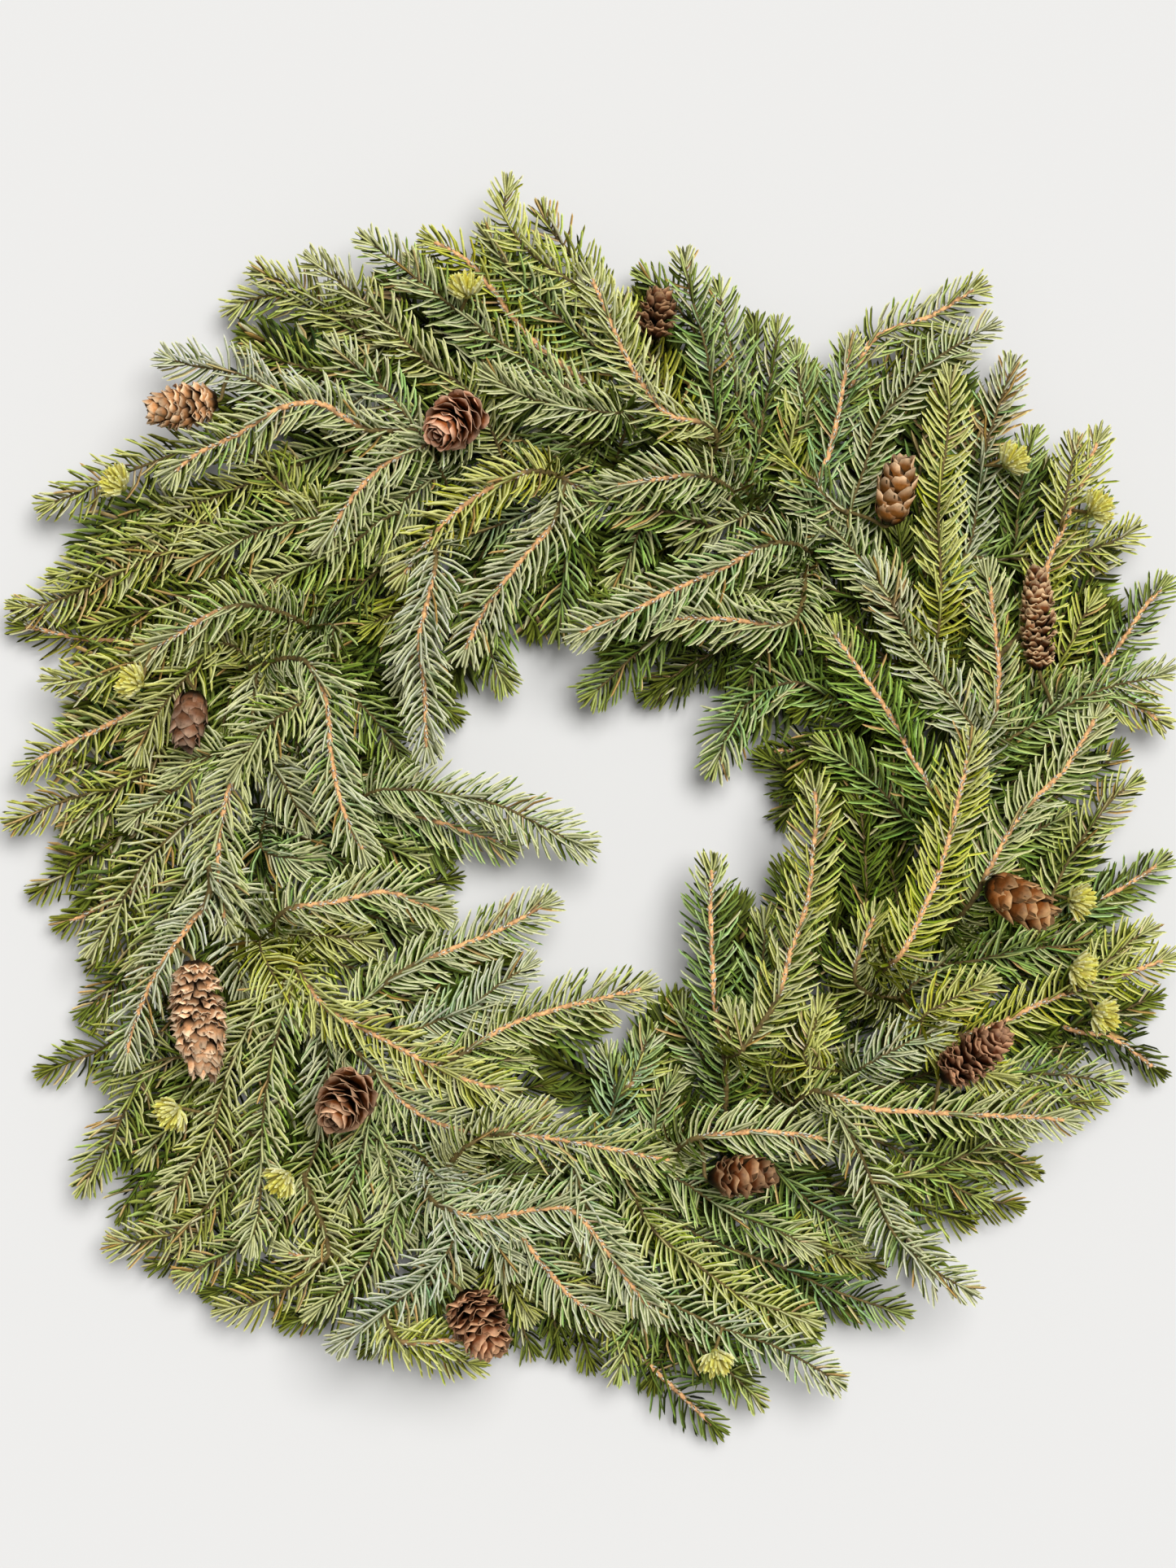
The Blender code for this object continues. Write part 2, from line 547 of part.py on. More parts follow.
def without_hairpin(points, root):
    """The points of a spray without those at its start that would make it double back."""
    points = list(points)
    while len(points) > 2:
        gap = np.array(points[0]) - root[:2]
        heading = np.array(points[1], float) - points[0]
        if gap @ heading > -0.2 * np.linalg.norm(gap) * np.linalg.norm(heading):
            break
        del points[0]
    return points


def place_spray(space, branch, row, root, thick, bend=None):
    """Lay one spray from its root, raised or lowered until it is clear of what lies there."""
    tint, layer = row[:2]
    points = without_hairpin(row[2:], root)
    way_up = [] if bend is None else [root]
    line = smooth_line(way_up + heights(points, layer, root if bend is None else bend), LINE_STEP)
    line = shortened(line, END_NEEDLE)
    skipped = space.near_fork(branch, root)
    start = np.array(points[0])
    lead = distances(line)[np.argmin(np.linalg.norm(line[:, :2] - start, axis=1))]
    best = None
    for count in range(LIFTS):
        lift = LIFT_STEP * ((count + 1) // 2) * (1 if count % 2 else -1)
        stations, radii = lay_stations(lifted(line, lift), lead, thick, bend)
        rods = list(zip(stations[:-1], stations[1:], zip(radii[:-1], radii[1:])))
        rods.append((stations[-1], end_point(stations), (STEM_THIN, 0.05)))
        room = min(space.room(*rod, skipped) for rod in rods[0 if bend is None else 1:])
        if best is None or room > best[0]:
            best = (room, stations, radii, rods)
        if room > CORE_CLEAR:
            break
    room, stations, radii, rods = best
    spray = Spray(branch, tint, layer, stations, radii, range(space.count, space.count + len(rods)))
    for rod in rods:
        space.add(*rod, branch)
    return spray


def fork_point(sprays, points, layer):
    """Where on the branch a further spray leaves it: near its start, with an easy turn."""
    start = np.array([*points[0], LAYER_START[layer]], float)
    heading = unit(np.array([*points[1], LAYER_START[layer]], float) - start)
    best = None
    for spray in sprays:
        stations = spray.stations
        for index, (a, b) in enumerate(zip(stations[:-1], stations[1:])):
            tangent = unit(b - a)
            steps = max(1, int(np.linalg.norm(b - a) // FORK_STEP))
            for step in range(steps):
                place = a + (b - a) * (step + 0.5) / steps
                if np.linalg.norm(place - stations[-1]) < FORK_FROM_TIP or (index == 0 and step < 3):
                    continue
                gap = start - place
                reach = max(np.linalg.norm(gap), 1e-6)
                way = gap / reach
                cost = (reach + FORK_NEAREST) * (TURN_COST - way @ heading - BRANCH_SHARE * way @ tangent)
                if best is None or cost < best[0]:
                    best = (cost, place)
    return best[1]


def lay_wreath():
    """Every spray's stem, leaders first, each clear of the ring and of the other branches."""
    space = Space()
    for corner in range(RING_CORNERS):
        a = ring_place(corner * 360 / RING_CORNERS)[0]
        b = ring_place((corner + 1) * 360 / RING_CORNERS)[0]
        space.add(a, b, (RING_WIRE, RING_WIRE), -1)
    wreath = []
    for branch, (name, angle, rows) in enumerate(BRANCHES):
        middle, tangent, outward = ring_place(angle)
        half = tangent * (HOOK_ADVANCE / 2 + HOOK_ROOM)
        reach = HOOK_REACH + HOOK_WIRE + HOOK_ROOM
        space.add(middle - half, middle + half, (reach, reach), branch)
        wreath.append([])
    for branch, (name, angle, rows) in enumerate(BRANCHES):
        bends = hook_sections(angle)[0]
        root = (bends[-2][0] + bends[-1][0]) / 2
        start = np.array([*rows[0][2], LAYER_START[rows[0][1]]], float)
        bend = root + np.array([0, 0, LEADER_RISE]) + unit(start - root) * LEADER_START
        wreath[branch].append(place_spray(space, branch, rows[0], root, STEM_THICK, bend))
    for branch, (name, angle, rows) in enumerate(BRANCHES):
        for row in sorted(rows[1:], key=lambda entry: -entry[1]):
            fork = fork_point(wreath[branch], row[2:], row[1])
            wreath[branch].append(place_spray(space, branch, row, fork, STEM_THICK * 0.85))
    return space, wreath


def frames(stations):
    """A side way at each station, carried along the stem without turning about it."""
    chords = [unit(b - a) for a, b in zip(stations[:-1], stations[1:])]
    tangents = [chords[0]] + [unit(a + b) for a, b in zip(chords[:-1], chords[1:])] + [chords[-1]]
    guide = np.array([0.0, 0.0, 1.0]) if abs(tangents[0][2]) < 0.9 else np.array([1.0, 0.0, 0.0])
    side = unit(np.cross(guide, tangents[0]))
    sides = []
    for tangent in tangents:
        side = unit(side - tangent * (side @ tangent))
        sides.append(side)
    return tangents, sides


def round_way(tangent, side, angle):
    return side * math.cos(angle) + np.cross(tangent, side) * math.sin(angle)


def band_starts(spray):
    """Numbers of the stations where the spray's whorls begin."""
    first = len(spray.stations) % 2 + 1
    return range(first, len(spray.stations) - 1, 2)


def station_turns(spray):
    """How far the three-sided stem has turned at each station."""
    turns = [0.0] * len(spray.stations)
    turn = math.radians(spray.branch * 37 + spray.layer * 23)
    starts = band_starts(spray)
    for index in range(len(turns)):
        turns[index] = turn
        if index - 1 in starts:
            turn += math.radians(WHORL_TWIST)
    turns[-1] = turns[-2]
    return turns


def needle_ways(tangent, side, turn, corner):
    """Ways and lengths to try for one needle, the true one first."""
    for share in (1.0, 0.9, 0.8, 0.65, 0.5):
        for lean in (0, -10, 10, -20, 18):
            for swing in (0, 14, -14, 26, -26):
                angle = math.radians(NEEDLE_LEAN + lean)
                outward = round_way(tangent, side, turn + math.radians(60 + 120 * corner + swing))
                yield tangent * math.cos(angle) + outward * math.sin(angle), NEEDLE_LENGTH * share


def place_needles(space, spray):
    """Give each side of each whorl a needle that is clear of everything laid so far."""
    tangents, sides = frames(spray.stations)
    turns = station_turns(spray)
    for index in band_starts(spray):
        middle = (spray.stations[index] + spray.stations[index + 1]) / 2
        beside = spray.rods[index - 1:index + 2]
        for corner in range(3):
            face = round_way(tangents[index], sides[index], turns[index] + math.radians(60 + 120 * corner))
            base = middle + face * spray.radii[index] / 2
            for way, length in needle_ways(tangents[index], sides[index], turns[index], corner):
                tip = base + way * length
                if tip[2] > FLOOR_GAP and space.room(base + way * 2, tip, (1.5, 0.1), beside) > NEEDLE_CLEAR:
                    spray.needles.append((index, corner, tip))
                    half = (base + tip) / 2
                    space.add(base + way * 0.5, half, (1.6, 0.8), spray.branch)
                    space.add(half, tip, (0.8, 0.05), spray.branch)
                    break


def loft(bm, rows):
    """A closed solid through rows of points: its side faces by row and corner, and its end face."""
    loops = [[bm.verts.new(Vector(point) * MM) for point in row] for row in rows]
    corners = len(loops[0])
    sides = []
    for lower, upper in zip(loops[:-1], loops[1:]):
        sides.append([bm.faces.new((lower[k], lower[(k + 1) % corners], upper[(k + 1) % corners], upper[k]))
                      for k in range(corners)])
    bm.faces.new(loops[0][::-1])
    return sides, bm.faces.new(loops[-1])


def raise_point(bm, face, tip):
    """Draw a face out to a point."""
    made = bmesh.ops.poke(bm, faces=[face])
    made["verts"][0].co = Vector(tip) * MM


def new_object(name, bm, collection, material=None):
    bmesh.ops.recalc_face_normals(bm, faces=bm.faces)
    mesh = bpy.data.meshes.new(name)
    bm.to_mesh(mesh)
    bm.free()
    thing = bpy.data.objects.new(name, mesh)
    collection.objects.link(thing)
    if material:
        mesh.materials.append(material)
    return thing


def new_piece(name, bm, pieces):
    """A solid that will be joined to another and removed."""
    piece = new_object(name, bm, pieces)
    piece.hide_render = True
    piece.display_type = "WIRE"
    return piece


def make_material(name, colour, roughness, metallic=0.0):
    material = bpy.data.materials.new(name)
    material.use_nodes = True
    shader = material.node_tree.nodes["Principled BSDF"]
    shader.inputs["Base Color"].default_value = (*colour, 1.0)
    shader.inputs["Roughness"].default_value = roughness
    shader.inputs["Metallic"].default_value = metallic
    return material


def triangle(centre, tangent, side, turn, radius):
    return [centre + round_way(tangent, side, turn + math.radians(120 * corner)) * radius
            for corner in range(3)]


def spray_solid(name, spray, pieces):
    """The spray's stem with its needles drawn out of the stem's bands."""
    tangents, sides = frames(spray.stations)
    turns = station_turns(spray)
    bm = bmesh.new()
    rows = [triangle(*station) for station in zip(spray.stations, tangents, sides, turns, spray.radii)]
    faces, end = loft(bm, rows)
    for index, corner, tip in spray.needles:
        raise_point(bm, faces[index][corner], tip)
    raise_point(bm, end, end_point(spray.stations))
    return new_piece(name, bm, pieces)


def hook_solid(name, angle, collection, material):
    """The branch's wire end, turned round the ring with a flat side facing out."""
    sections, tangent = hook_sections(angle)
    rows = []
    for centre, way in sections:
        rows.append([centre - way * HOOK_WIRE,
                     centre + way * HOOK_WIRE / 2 + tangent * HOOK_WIRE * math.cos(math.radians(30)),
                     centre + way * HOOK_WIRE / 2 - tangent * HOOK_WIRE * math.cos(math.radians(30))])
    bm = bmesh.new()
    loft(bm, rows)
    return new_object(name, bm, collection, material)


def join_all(thing, pieces):
    """Union of a thing with its pieces, which are removed."""
    union = thing.modifiers.new("join", "BOOLEAN")
    union.operation = "UNION"
    union.solver = "MANIFOLD"
    union.operand_type = "COLLECTION"
    union.collection = pieces
    graph = bpy.context.evaluated_depsgraph_get()
    mesh = bpy.data.meshes.new_from_object(thing.evaluated_get(graph))
    thing.modifiers.clear()
    thing.data = mesh
    for piece in list(pieces.objects):
        bpy.data.objects.remove(piece)


def make_branch(name, angle, sprays, wreath, pieces, material):
    branch = hook_solid(name, angle, wreath, material)
    for number, spray in enumerate(sprays):
        spray_solid(f"{name}_spray_{number}", spray, pieces)
    join_all(branch, pieces)
    return branch


def make_ring(wreath, material):
    bpy.ops.mesh.primitive_torus_add(major_segments=RING_CORNERS, minor_segments=RING_SIDES,
                                     major_radius=RING_RADIUS * MM, minor_radius=RING_WIRE * MM,
                                     location=(RING_CENTRE[0] * MM, RING_CENTRE[1] * MM, RING_HEIGHT * MM))
    ring = bpy.context.object
    ring.name = "ring"
    ring.data.name = "ring"
    ring.data.materials.append(material)
    for collection in list(ring.users_collection):
        collection.objects.unlink(ring)
    wreath.objects.link(ring)
    return ring


class Fitting:
    """A cone or bud: its middle and axis, the end that its stalk leaves, and its seat on a stem."""

    def __init__(self, name, middle, axis, length, width):
        self.name = name
        self.middle = middle
        self.axis = axis
        self.length = length
        self.width = width
        self.seat = None
        self.owner = None

    def root(self):
        return self.middle - self.axis * self.length / 2

    def rods(self):
        """The body as two rods that meet at its waist."""
        tip = self.middle + self.axis * self.length / 2
        full = self.width / 2
        return ((self.root(), self.middle, (full * 0.6, full)), (self.middle, tip, (full, full * 0.6)))


def settle(space, fitting):
    """Move a fitting up or down until its body is clear of the stems."""
    given = fitting.middle.copy()
    best = None
    for count in range(LIFTS):
        lift = LIFT_STEP * ((count + 1) // 2) * (1 if count % 2 else -1)
        fitting.middle = given + np.array([0, 0, lift])
        room = min(space.room(*rod) for rod in fitting.rods())
        if best is None or room > best[0]:
            best = (room, fitting.middle)
        if room > CORE_CLEAR:
            break
    fitting.middle = best[1]


def find_seat(space, fitting):
    """The nearest place on a stem that a straight stalk from the fitting's root reaches."""
    count = space.cores
    owned = (space.owners[:count] >= 0) & (space.radii[:count].min(axis=1) > STEM_THIN / 2)
    starts = space.starts[:count][owned]
    along = space.ends[:count][owned] - starts
    root = fitting.root()
    share = np.einsum("ij,ij->i", root - starts, along) / np.einsum("ij,ij->i", along, along)
    places = starts + np.clip(share, 0.1, 0.9)[:, None] * along
    gaps = places - root
    reach = np.linalg.norm(gaps, axis=1)
    behind = gaps @ -fitting.axis / reach
    reach = np.where((behind > 0.05) & (space.radii[:count][owned].max(axis=1) < HOOK_REACH), reach, 1e6)
    nearest = np.argmin(reach)
    fitting.seat = places[nearest]
    fitting.owner = space.owners[:count][owned][nearest]


def lay_fittings(space):
    """Cones and buds, settled among the stems and seated on them."""
    cones = []
    for name, (x, y), height, bearing, slope, length, width in CONES:
        turn = math.radians(bearing)
        tilt = math.radians(slope)
        axis = np.array([math.cos(turn) * math.cos(tilt), math.sin(turn) * math.cos(tilt), math.sin(tilt)])
        cones.append(Fitting(name, np.array([x, y, height], float), axis, length, width))
    buds = [Fitting(name, np.array([x, y, height], float), np.array([0.0, 0.0, 1.0]), BUD_CORE * 2,
                    BUD_CORE * 2) for name, (x, y), height in BUDS]
    space.cores = space.count
    for fitting in cones + buds:
        settle(space, fitting)
        find_seat(space, fitting)
        for rod in fitting.rods():
            space.add(*rod, -2)
        space.add(fitting.root(), fitting.seat, (STALK, STALK), -2)
        if fitting in buds:
            head = fitting.middle + fitting.axis * BUD_CORE
            space.add(fitting.middle, head, (BUD_HEAD, BUD_HEAD * 0.7), -2)
    return cones, buds


def stalk_end(tree, root, seat):
    """Where the stalk stops, just short of the stem that carries it."""
    way = unit(seat - root)
    side = frames([root, seat])[1][0]
    whole = np.linalg.norm(seat - root)
    for reach in np.arange(max(whole - STALK_SEARCH, 1.0), whole, STALK_STEP):
        end = root + way * reach
        ahead = end + way * STALK_STEP
        corners = triangle(ahead, way, side, 0.0, STALK) + [ahead]
        if min(tree.find_nearest(Vector(point) * MM)[3] for point in corners) < SEAT * MM:
            break
    return end


def stalk_solid(name, start, end, pieces):
    tangents, sides = frames([start, end])
    bm = bmesh.new()
    loft(bm, [triangle(place, tangents[0], sides[0], 0.0, STALK) for place in (start, end)])
    return new_piece(name, bm, pieces)


def turned_onto(axis, middle):
    turn = Vector((0, 0, 1)).rotation_difference(Vector(axis)).to_matrix().to_4x4()
    return Matrix.Translation(Vector(middle) * MM) @ turn @ Matrix.Scale(MM, 4)


def make_cone(fitting, tree, wreath, pieces, material):
    """A cone of scales in staggered rows, each drawn out from the body towards the tip."""
    bm = bmesh.new()
    bmesh.ops.create_uvsphere(bm, u_segments=SCALE_COLUMNS, v_segments=SCALE_ROWS, radius=1.0)
    waist = fitting.width / 2 - SCALE_RISE
    for vert in bm.verts:
        row = round(math.acos(max(-1.0, min(1.0, vert.co.z))) / math.pi * SCALE_ROWS)
        turn = math.pi / SCALE_COLUMNS * (row % 2)
        turned = Matrix.Rotation(turn, 3, "Z") @ vert.co
        width = waist * (1 - CONE_TAPER * vert.co.z)
        vert.co = Vector((turned.x * width, turned.y * width, vert.co.z * fitting.length / 2))
    scales = [face for face in bm.faces if len(face.verts) == 4]
    made = bmesh.ops.poke(bm, faces=scales)
    for vert in made["verts"]:
        outward = Vector((vert.co.x, vert.co.y, 0)).normalized()
        vert.co += outward * SCALE_RISE + Vector((0, 0, SCALE_SLANT))
    bmesh.ops.transform(bm, matrix=turned_onto(fitting.axis, fitting.middle), verts=bm.verts)
    cone = new_object(fitting.name, bm, wreath, material)
    end = stalk_end(tree, fitting.root(), fitting.seat)
    stalk_solid(f"{fitting.name}_stalk", fitting.root() + fitting.axis * STALK_INSIDE, end, pieces)
    join_all(cone, pieces)
    return cone


def make_bud(fitting, tree, wreath, pieces, material):
    """A tuft of short young needles drawn out of a small round core."""
    bm = bmesh.new()
    bmesh.ops.create_icosphere(bm, subdivisions=1, radius=BUD_CORE)
    upper = [face for face in bm.faces if face.normal.z > BUD_LOWEST_NEEDLE]
    made = bmesh.ops.poke(bm, faces=upper)
    for vert in made["verts"]:
        way = (vert.co.normalized() + Vector((0, 0, BUD_NEEDLE_RISE))).normalized()
        vert.co += way * BUD_NEEDLE
    bmesh.ops.transform(bm, matrix=turned_onto(fitting.axis, fitting.middle), verts=bm.verts)
    bud = new_object(fitting.name, bm, wreath, material)
    end = stalk_end(tree, fitting.root(), fitting.seat)
    stalk_solid(f"{fitting.name}_stalk", fitting.root() + fitting.axis * STALK_INSIDE, end, pieces)
    join_all(bud, pieces)
    return bud


def centre_model(wreath):
    """Put the middle of the wreath's underside at the origin, by an empty that holds every part."""
    corners = [thing.matrix_world @ vert.co for thing in wreath.objects for vert in thing.data.vertices]
    low = [min(corner[axis] for corner in corners) for axis in range(3)]
    high = [max(corner[axis] for corner in corners) for axis in range(3)]
    middle = bpy.data.objects.new("wreath_middle", None)
    bpy.context.scene.collection.objects.link(middle)
    for thing in wreath.objects:
        thing.parent = middle
    middle.location = (-(low[0] + high[0]) / 2, -(low[1] + high[1]) / 2, -low[2])


def clear_scene():
    for thing in list(bpy.data.objects):
        bpy.data.objects.remove(thing)


def new_collection(name):
    collection = bpy.data.collections.new(name)
    bpy.context.scene.collection.children.link(collection)
    return collection


def main():
    clear_scene()
    wreath = new_collection("white_spruce_wreath")
    pieces = new_collection("joined_pieces")
    pieces.hide_render = True
    wire = make_material("green_wire", (0.03, 0.06, 0.03), 0.5, 0.2)
    scales = make_material("cone_scales", (0.16, 0.085, 0.045), 0.7)
    young = make_material("young_needles", (0.52, 0.50, 0.17), 0.6)
    tints = {tint: make_material(f"needles_{tint}", colour, 0.6) for tint, colour in TINTS.items()}
    make_ring(wreath, wire)
    space, branches = lay_wreath()
    cones, buds = lay_fittings(space)
    for layer in (3, 2, 1, 0):
        for sprays in branches:
            for spray in sprays:
                if spray.layer == layer:
                    place_needles(space, spray)
    trees = []
    for (name, angle, rows), sprays in zip(BRANCHES, branches):
        tint = rows[0][0].split()[0]
        branch = make_branch(name, angle, sprays, wreath, pieces, tints[tint])
        shape = bmesh.new()
        shape.from_mesh(branch.data)
        trees.append(BVHTree.FromBMesh(shape))
        shape.free()
    for cone in cones:
        make_cone(cone, trees[cone.owner], wreath, pieces, scales)
    for bud in buds:
        make_bud(bud, trees[bud.owner], wreath, pieces, young)
    bpy.data.collections.remove(pieces)
    centre_model(wreath)


main()
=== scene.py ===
"""White spruce wreath dressed for the render: dense curved needles on barked stems, open cones, pale buds.

Lengths in the tables are millimetres from the middle of the photograph's wreath, X to the right and Y up.
The stems are laid by the same rules as the solids, so each dressed branch lies where its node does.
"""
import json
import math
from collections import namedtuple

import bpy
import numpy as np
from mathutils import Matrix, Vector

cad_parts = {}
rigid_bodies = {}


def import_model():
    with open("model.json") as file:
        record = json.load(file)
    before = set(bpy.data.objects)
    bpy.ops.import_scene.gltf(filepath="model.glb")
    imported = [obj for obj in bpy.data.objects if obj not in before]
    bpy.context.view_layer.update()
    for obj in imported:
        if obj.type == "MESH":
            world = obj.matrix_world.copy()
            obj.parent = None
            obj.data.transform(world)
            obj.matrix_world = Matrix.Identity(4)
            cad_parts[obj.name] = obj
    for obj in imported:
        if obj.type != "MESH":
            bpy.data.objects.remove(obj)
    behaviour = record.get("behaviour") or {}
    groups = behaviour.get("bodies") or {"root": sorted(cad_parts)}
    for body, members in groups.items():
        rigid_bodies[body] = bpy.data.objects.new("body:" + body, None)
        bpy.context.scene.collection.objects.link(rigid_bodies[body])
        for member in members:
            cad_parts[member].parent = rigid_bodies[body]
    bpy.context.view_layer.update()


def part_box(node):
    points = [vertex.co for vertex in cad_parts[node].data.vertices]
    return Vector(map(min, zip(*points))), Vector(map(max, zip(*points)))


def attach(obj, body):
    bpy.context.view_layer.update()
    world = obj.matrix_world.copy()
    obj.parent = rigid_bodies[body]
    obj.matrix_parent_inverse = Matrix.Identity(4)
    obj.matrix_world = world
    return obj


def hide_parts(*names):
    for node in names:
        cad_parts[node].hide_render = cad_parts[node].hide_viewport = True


MM = 0.001

# Photograph: the middle of its frame, its height on the wreath, and the camera above that height
PHOTO_CENTRE = (0.2, 13.3)
PHOTO_HEIGHT = 867.0
PHOTO_PLANE = 50.0
CAMERA_DISTANCE = 2000.0
SENSOR = 36.0

# Light
ROOM_STRENGTH = 0.165
WINDOW_STRENGTH = 3.24
WINDOW_SPREAD = 38.0
WINDOW_PLACE = (0.6, 0.8, 2.5)

# Ring and hooks
RING_CENTRE = (8.0, -12.0)
RING_RADIUS = 200.0
RING_WIRE = 2.4
RING_CORNERS = 48
HOOK_WIRE = 0.9
HOOK_REACH = 4.1
HOOK_ADVANCE = 5.0
HOOK_TURN = (60, 0, -60, -120, -180, -240)
TIGHT_REACH = 3.2
TIGHT_WIRE = 0.7
TIGHT_TURN = 130
RING_HEIGHT = (HOOK_REACH + HOOK_WIRE / 2) * math.sin(math.radians(60))

# Laying of the stems
LAYER_START = (15.0, 33.0, 53.0, 74.0)
LAYER_TIP = (12.0, 22.0, 38.0, 56.0)
LOWEST_CORE = 7.0
STEM_ROOT = 0.7
STEM_THICK = 1.5
STEM_THIN = 0.8
FORK_THICK = STEM_THICK * 0.85
WHORL_FIRST = 15.0
LEADER_FIRST = 24.0
WHORL_LAST = 7.0
WHORL_PITCH = 32.0
LEAD_PITCH = 60.0
WHORL_BAND = 2.4
END_NEEDLE = 13.0
LINE_STEP = 2.0
ROD_LIMIT = 12000
ROOM_ENOUGH = 5.0
CORE_CLEAR = 1.2
LIFT_STEP = 3.0
LIFT_REACH = 30.0
LIFTS = 19
FORK_FROM_TIP = 14.0
FORK_STEP = 3.0
FORK_NEAREST = 6.0
TURN_COST = 3.0
BRANCH_SHARE = 0.9
FILL_REACH = 40.0
THICKET_CELL = 6.0
THICKET_REACH = 16.0
THICKET_HALF = 30.0
THICKET_INSIDE = 4
THICKET_COVER = 3
THICKET_SPRAYS = 150
THICKET_ENDS = (-348, 352)
THICKET_BEND = 9
LEADER_RISE = 7.0
LEADER_START = 5.0
HOOK_ROOM = 0.2
STALK = 0.8
BUD_CORE = 4.4
BUD_HEAD = 11.0
BUD_CLEAR = 4.5
CONE_CLEAR = 0.3

# Needles
NEEDLE_LENGTH = 21.0
NEEDLE_WIDTH = 1.75
NEEDLE_DEPTH = 1.1
NEEDLES_PER_MM = 1.42
FIRST_NEEDLE = 3.0
LEADER_FIRST_NEEDLE = 4.0
TUFT_NEEDLES = 9
TUFT_LENGTHS = (12, 15)
PEG_LENGTH = 3.0
PEGS_PER_MM = 0.7
# How far the needles of a barked stem and of another one part on its upper side, in degrees
BARKED_PARTING = 30
PLAIN_PARTING = 8
# A needle's lean from its stem at its foot and its end, in degrees: its mean, what is taken off on the
# upper side, and its scatter
FOOT_LEAN = (66, 10, 7.5)
END_LEAN = (34, 4, 9.5)
# Sprays that end further from the ring's middle than this have fewer and shorter needles
OUTER_TIPS = 285.0
OUTER_DENSITY = 0.76
OUTER_LENGTH = 0.93
# The lowest layer has fewer needles, and the low sprays laid by rule have wide, long and thick ones
LOWEST_DENSITY = 0.85
LOW_SPREAD = 1.15
LOW_LENGTH = 1.15
LOW_THICKNESS = 1.7
# A stem's tube, barked or plain: the step between its rings, its corners, root radius and roughness
BARKED_STEM = (1.6, 7, 1.8, 0.30)
PLAIN_STEM = (4.0, 5, 1.2, 0.08)
STEM_TAPER = 0.5
BARK_START = 14
GOLDEN = math.radians(137.508)
FLOOR_GAP = 0.8

# Needle colours, linear
TINTS = {
    "deep": (0.132, 0.198, 0.028),
    "fir": (0.188, 0.282, 0.036),
    "green": (0.254, 0.370, 0.045),
    "blue": (0.238, 0.374, 0.066),
    "pale": (0.345, 0.465, 0.078),
    "olive": (0.340, 0.385, 0.040),
    "lime": (0.510, 0.570, 0.034),
}
# How far whole sprays differ from their tint: in brightness and in warmth
SPRAY_VARIATION = (0.17, 0.06)
# Painted shade and light: what the tint is multiplied by in each layer, lowest first, darker low down as in
# shade and lighter on top as in full light
LAYER_SHADE = (0.52, 1.02, 1.52, 1.95)
# What it is multiplied by on a stem's under side, where little light comes
UNDER_SHADE = 0.20
YOUNG = (0.375, 0.40, 0.045)
DRY = (0.42, 0.25, 0.045)
DRY_SHARE = 0.045
BARK = (0.93, 0.50, 0.21)
GREEN_BARK = (0.16, 0.11, 0.03)
DARK_BARK = 0.55
DARK_BARK_SHARE = 0.22
HOOK_TINT = (0.05, 0.07, 0.03)
TAPE_TINT = (0.045, 0.07, 0.03)
FLOOR_PAINT = (0.770, 0.764, 0.752, 1)
# Painted light on each needle: its ridge is made lighter as a highlight, its two lower edges darker as shade
RIDGE_HIGHLIGHT = 1.95
EDGE_SHADE = 0.17
# The whitish sheen on a needle's ridge, partly its waxy bloom and partly a painted highlight: its colour, its
# growth with the needle's own paleness, what is taken off it so that dark needles have none, and its most
BLOOM_AND_SHEEN = (0.87, 0.98, 0.75)
BLOOM_AND_SHEEN_GROWTH = 16.0
BLOOM_AND_SHEEN_START = 0.18
BLOOM_AND_SHEEN_MOST = 0.44
# The bloom and painted sheen lean to red and to blue as far as the needle's own red and blue stand above
# these shares of its green
EVEN_RED, EVEN_BLUE = 0.73, 0.108
RED_LEAN, BLUE_LEAN = 1.2, 0.55
PALEST = 0.93

# Places where many needles have dried: middle, radius and the share of them
DRY_SPOTS = (((-290, 130), 75, 0.16), ((-290, 0), 65, 0.16), ((-275, -130), 60, 0.13),
             ((-235, -225), 50, 0.15), ((-150, 290), 60, 0.11), ((235, 225), 22, 0.45),
             ((298, 3), 16, 0.4), ((295, 33), 16, 0.4), ((165, 105), 10, 0.4), ((-24, 322), 14, 0.4),
             ((222, 205), 16, 0.4), ((236, 235), 14, 0.4))

# Places painted in shade, where the needles are a darker, deeper green: middle, radius and how much deeper
SHADED_SPOTS = (((165, 62), 70, 1.0), ((165, -48), 62, 1.0), ((160, -150), 60, 0.45), ((54, 176), 50, 0.4),
              ((-163, 72), 55, 0.4), ((54, -150), 55, 0.3), ((-160, -150), 55, 0.25))
# What painted shade multiplies the needles' colour by at a shaded spot's middle
SPOT_SHADE = (0.66, 0.67, 0.45)

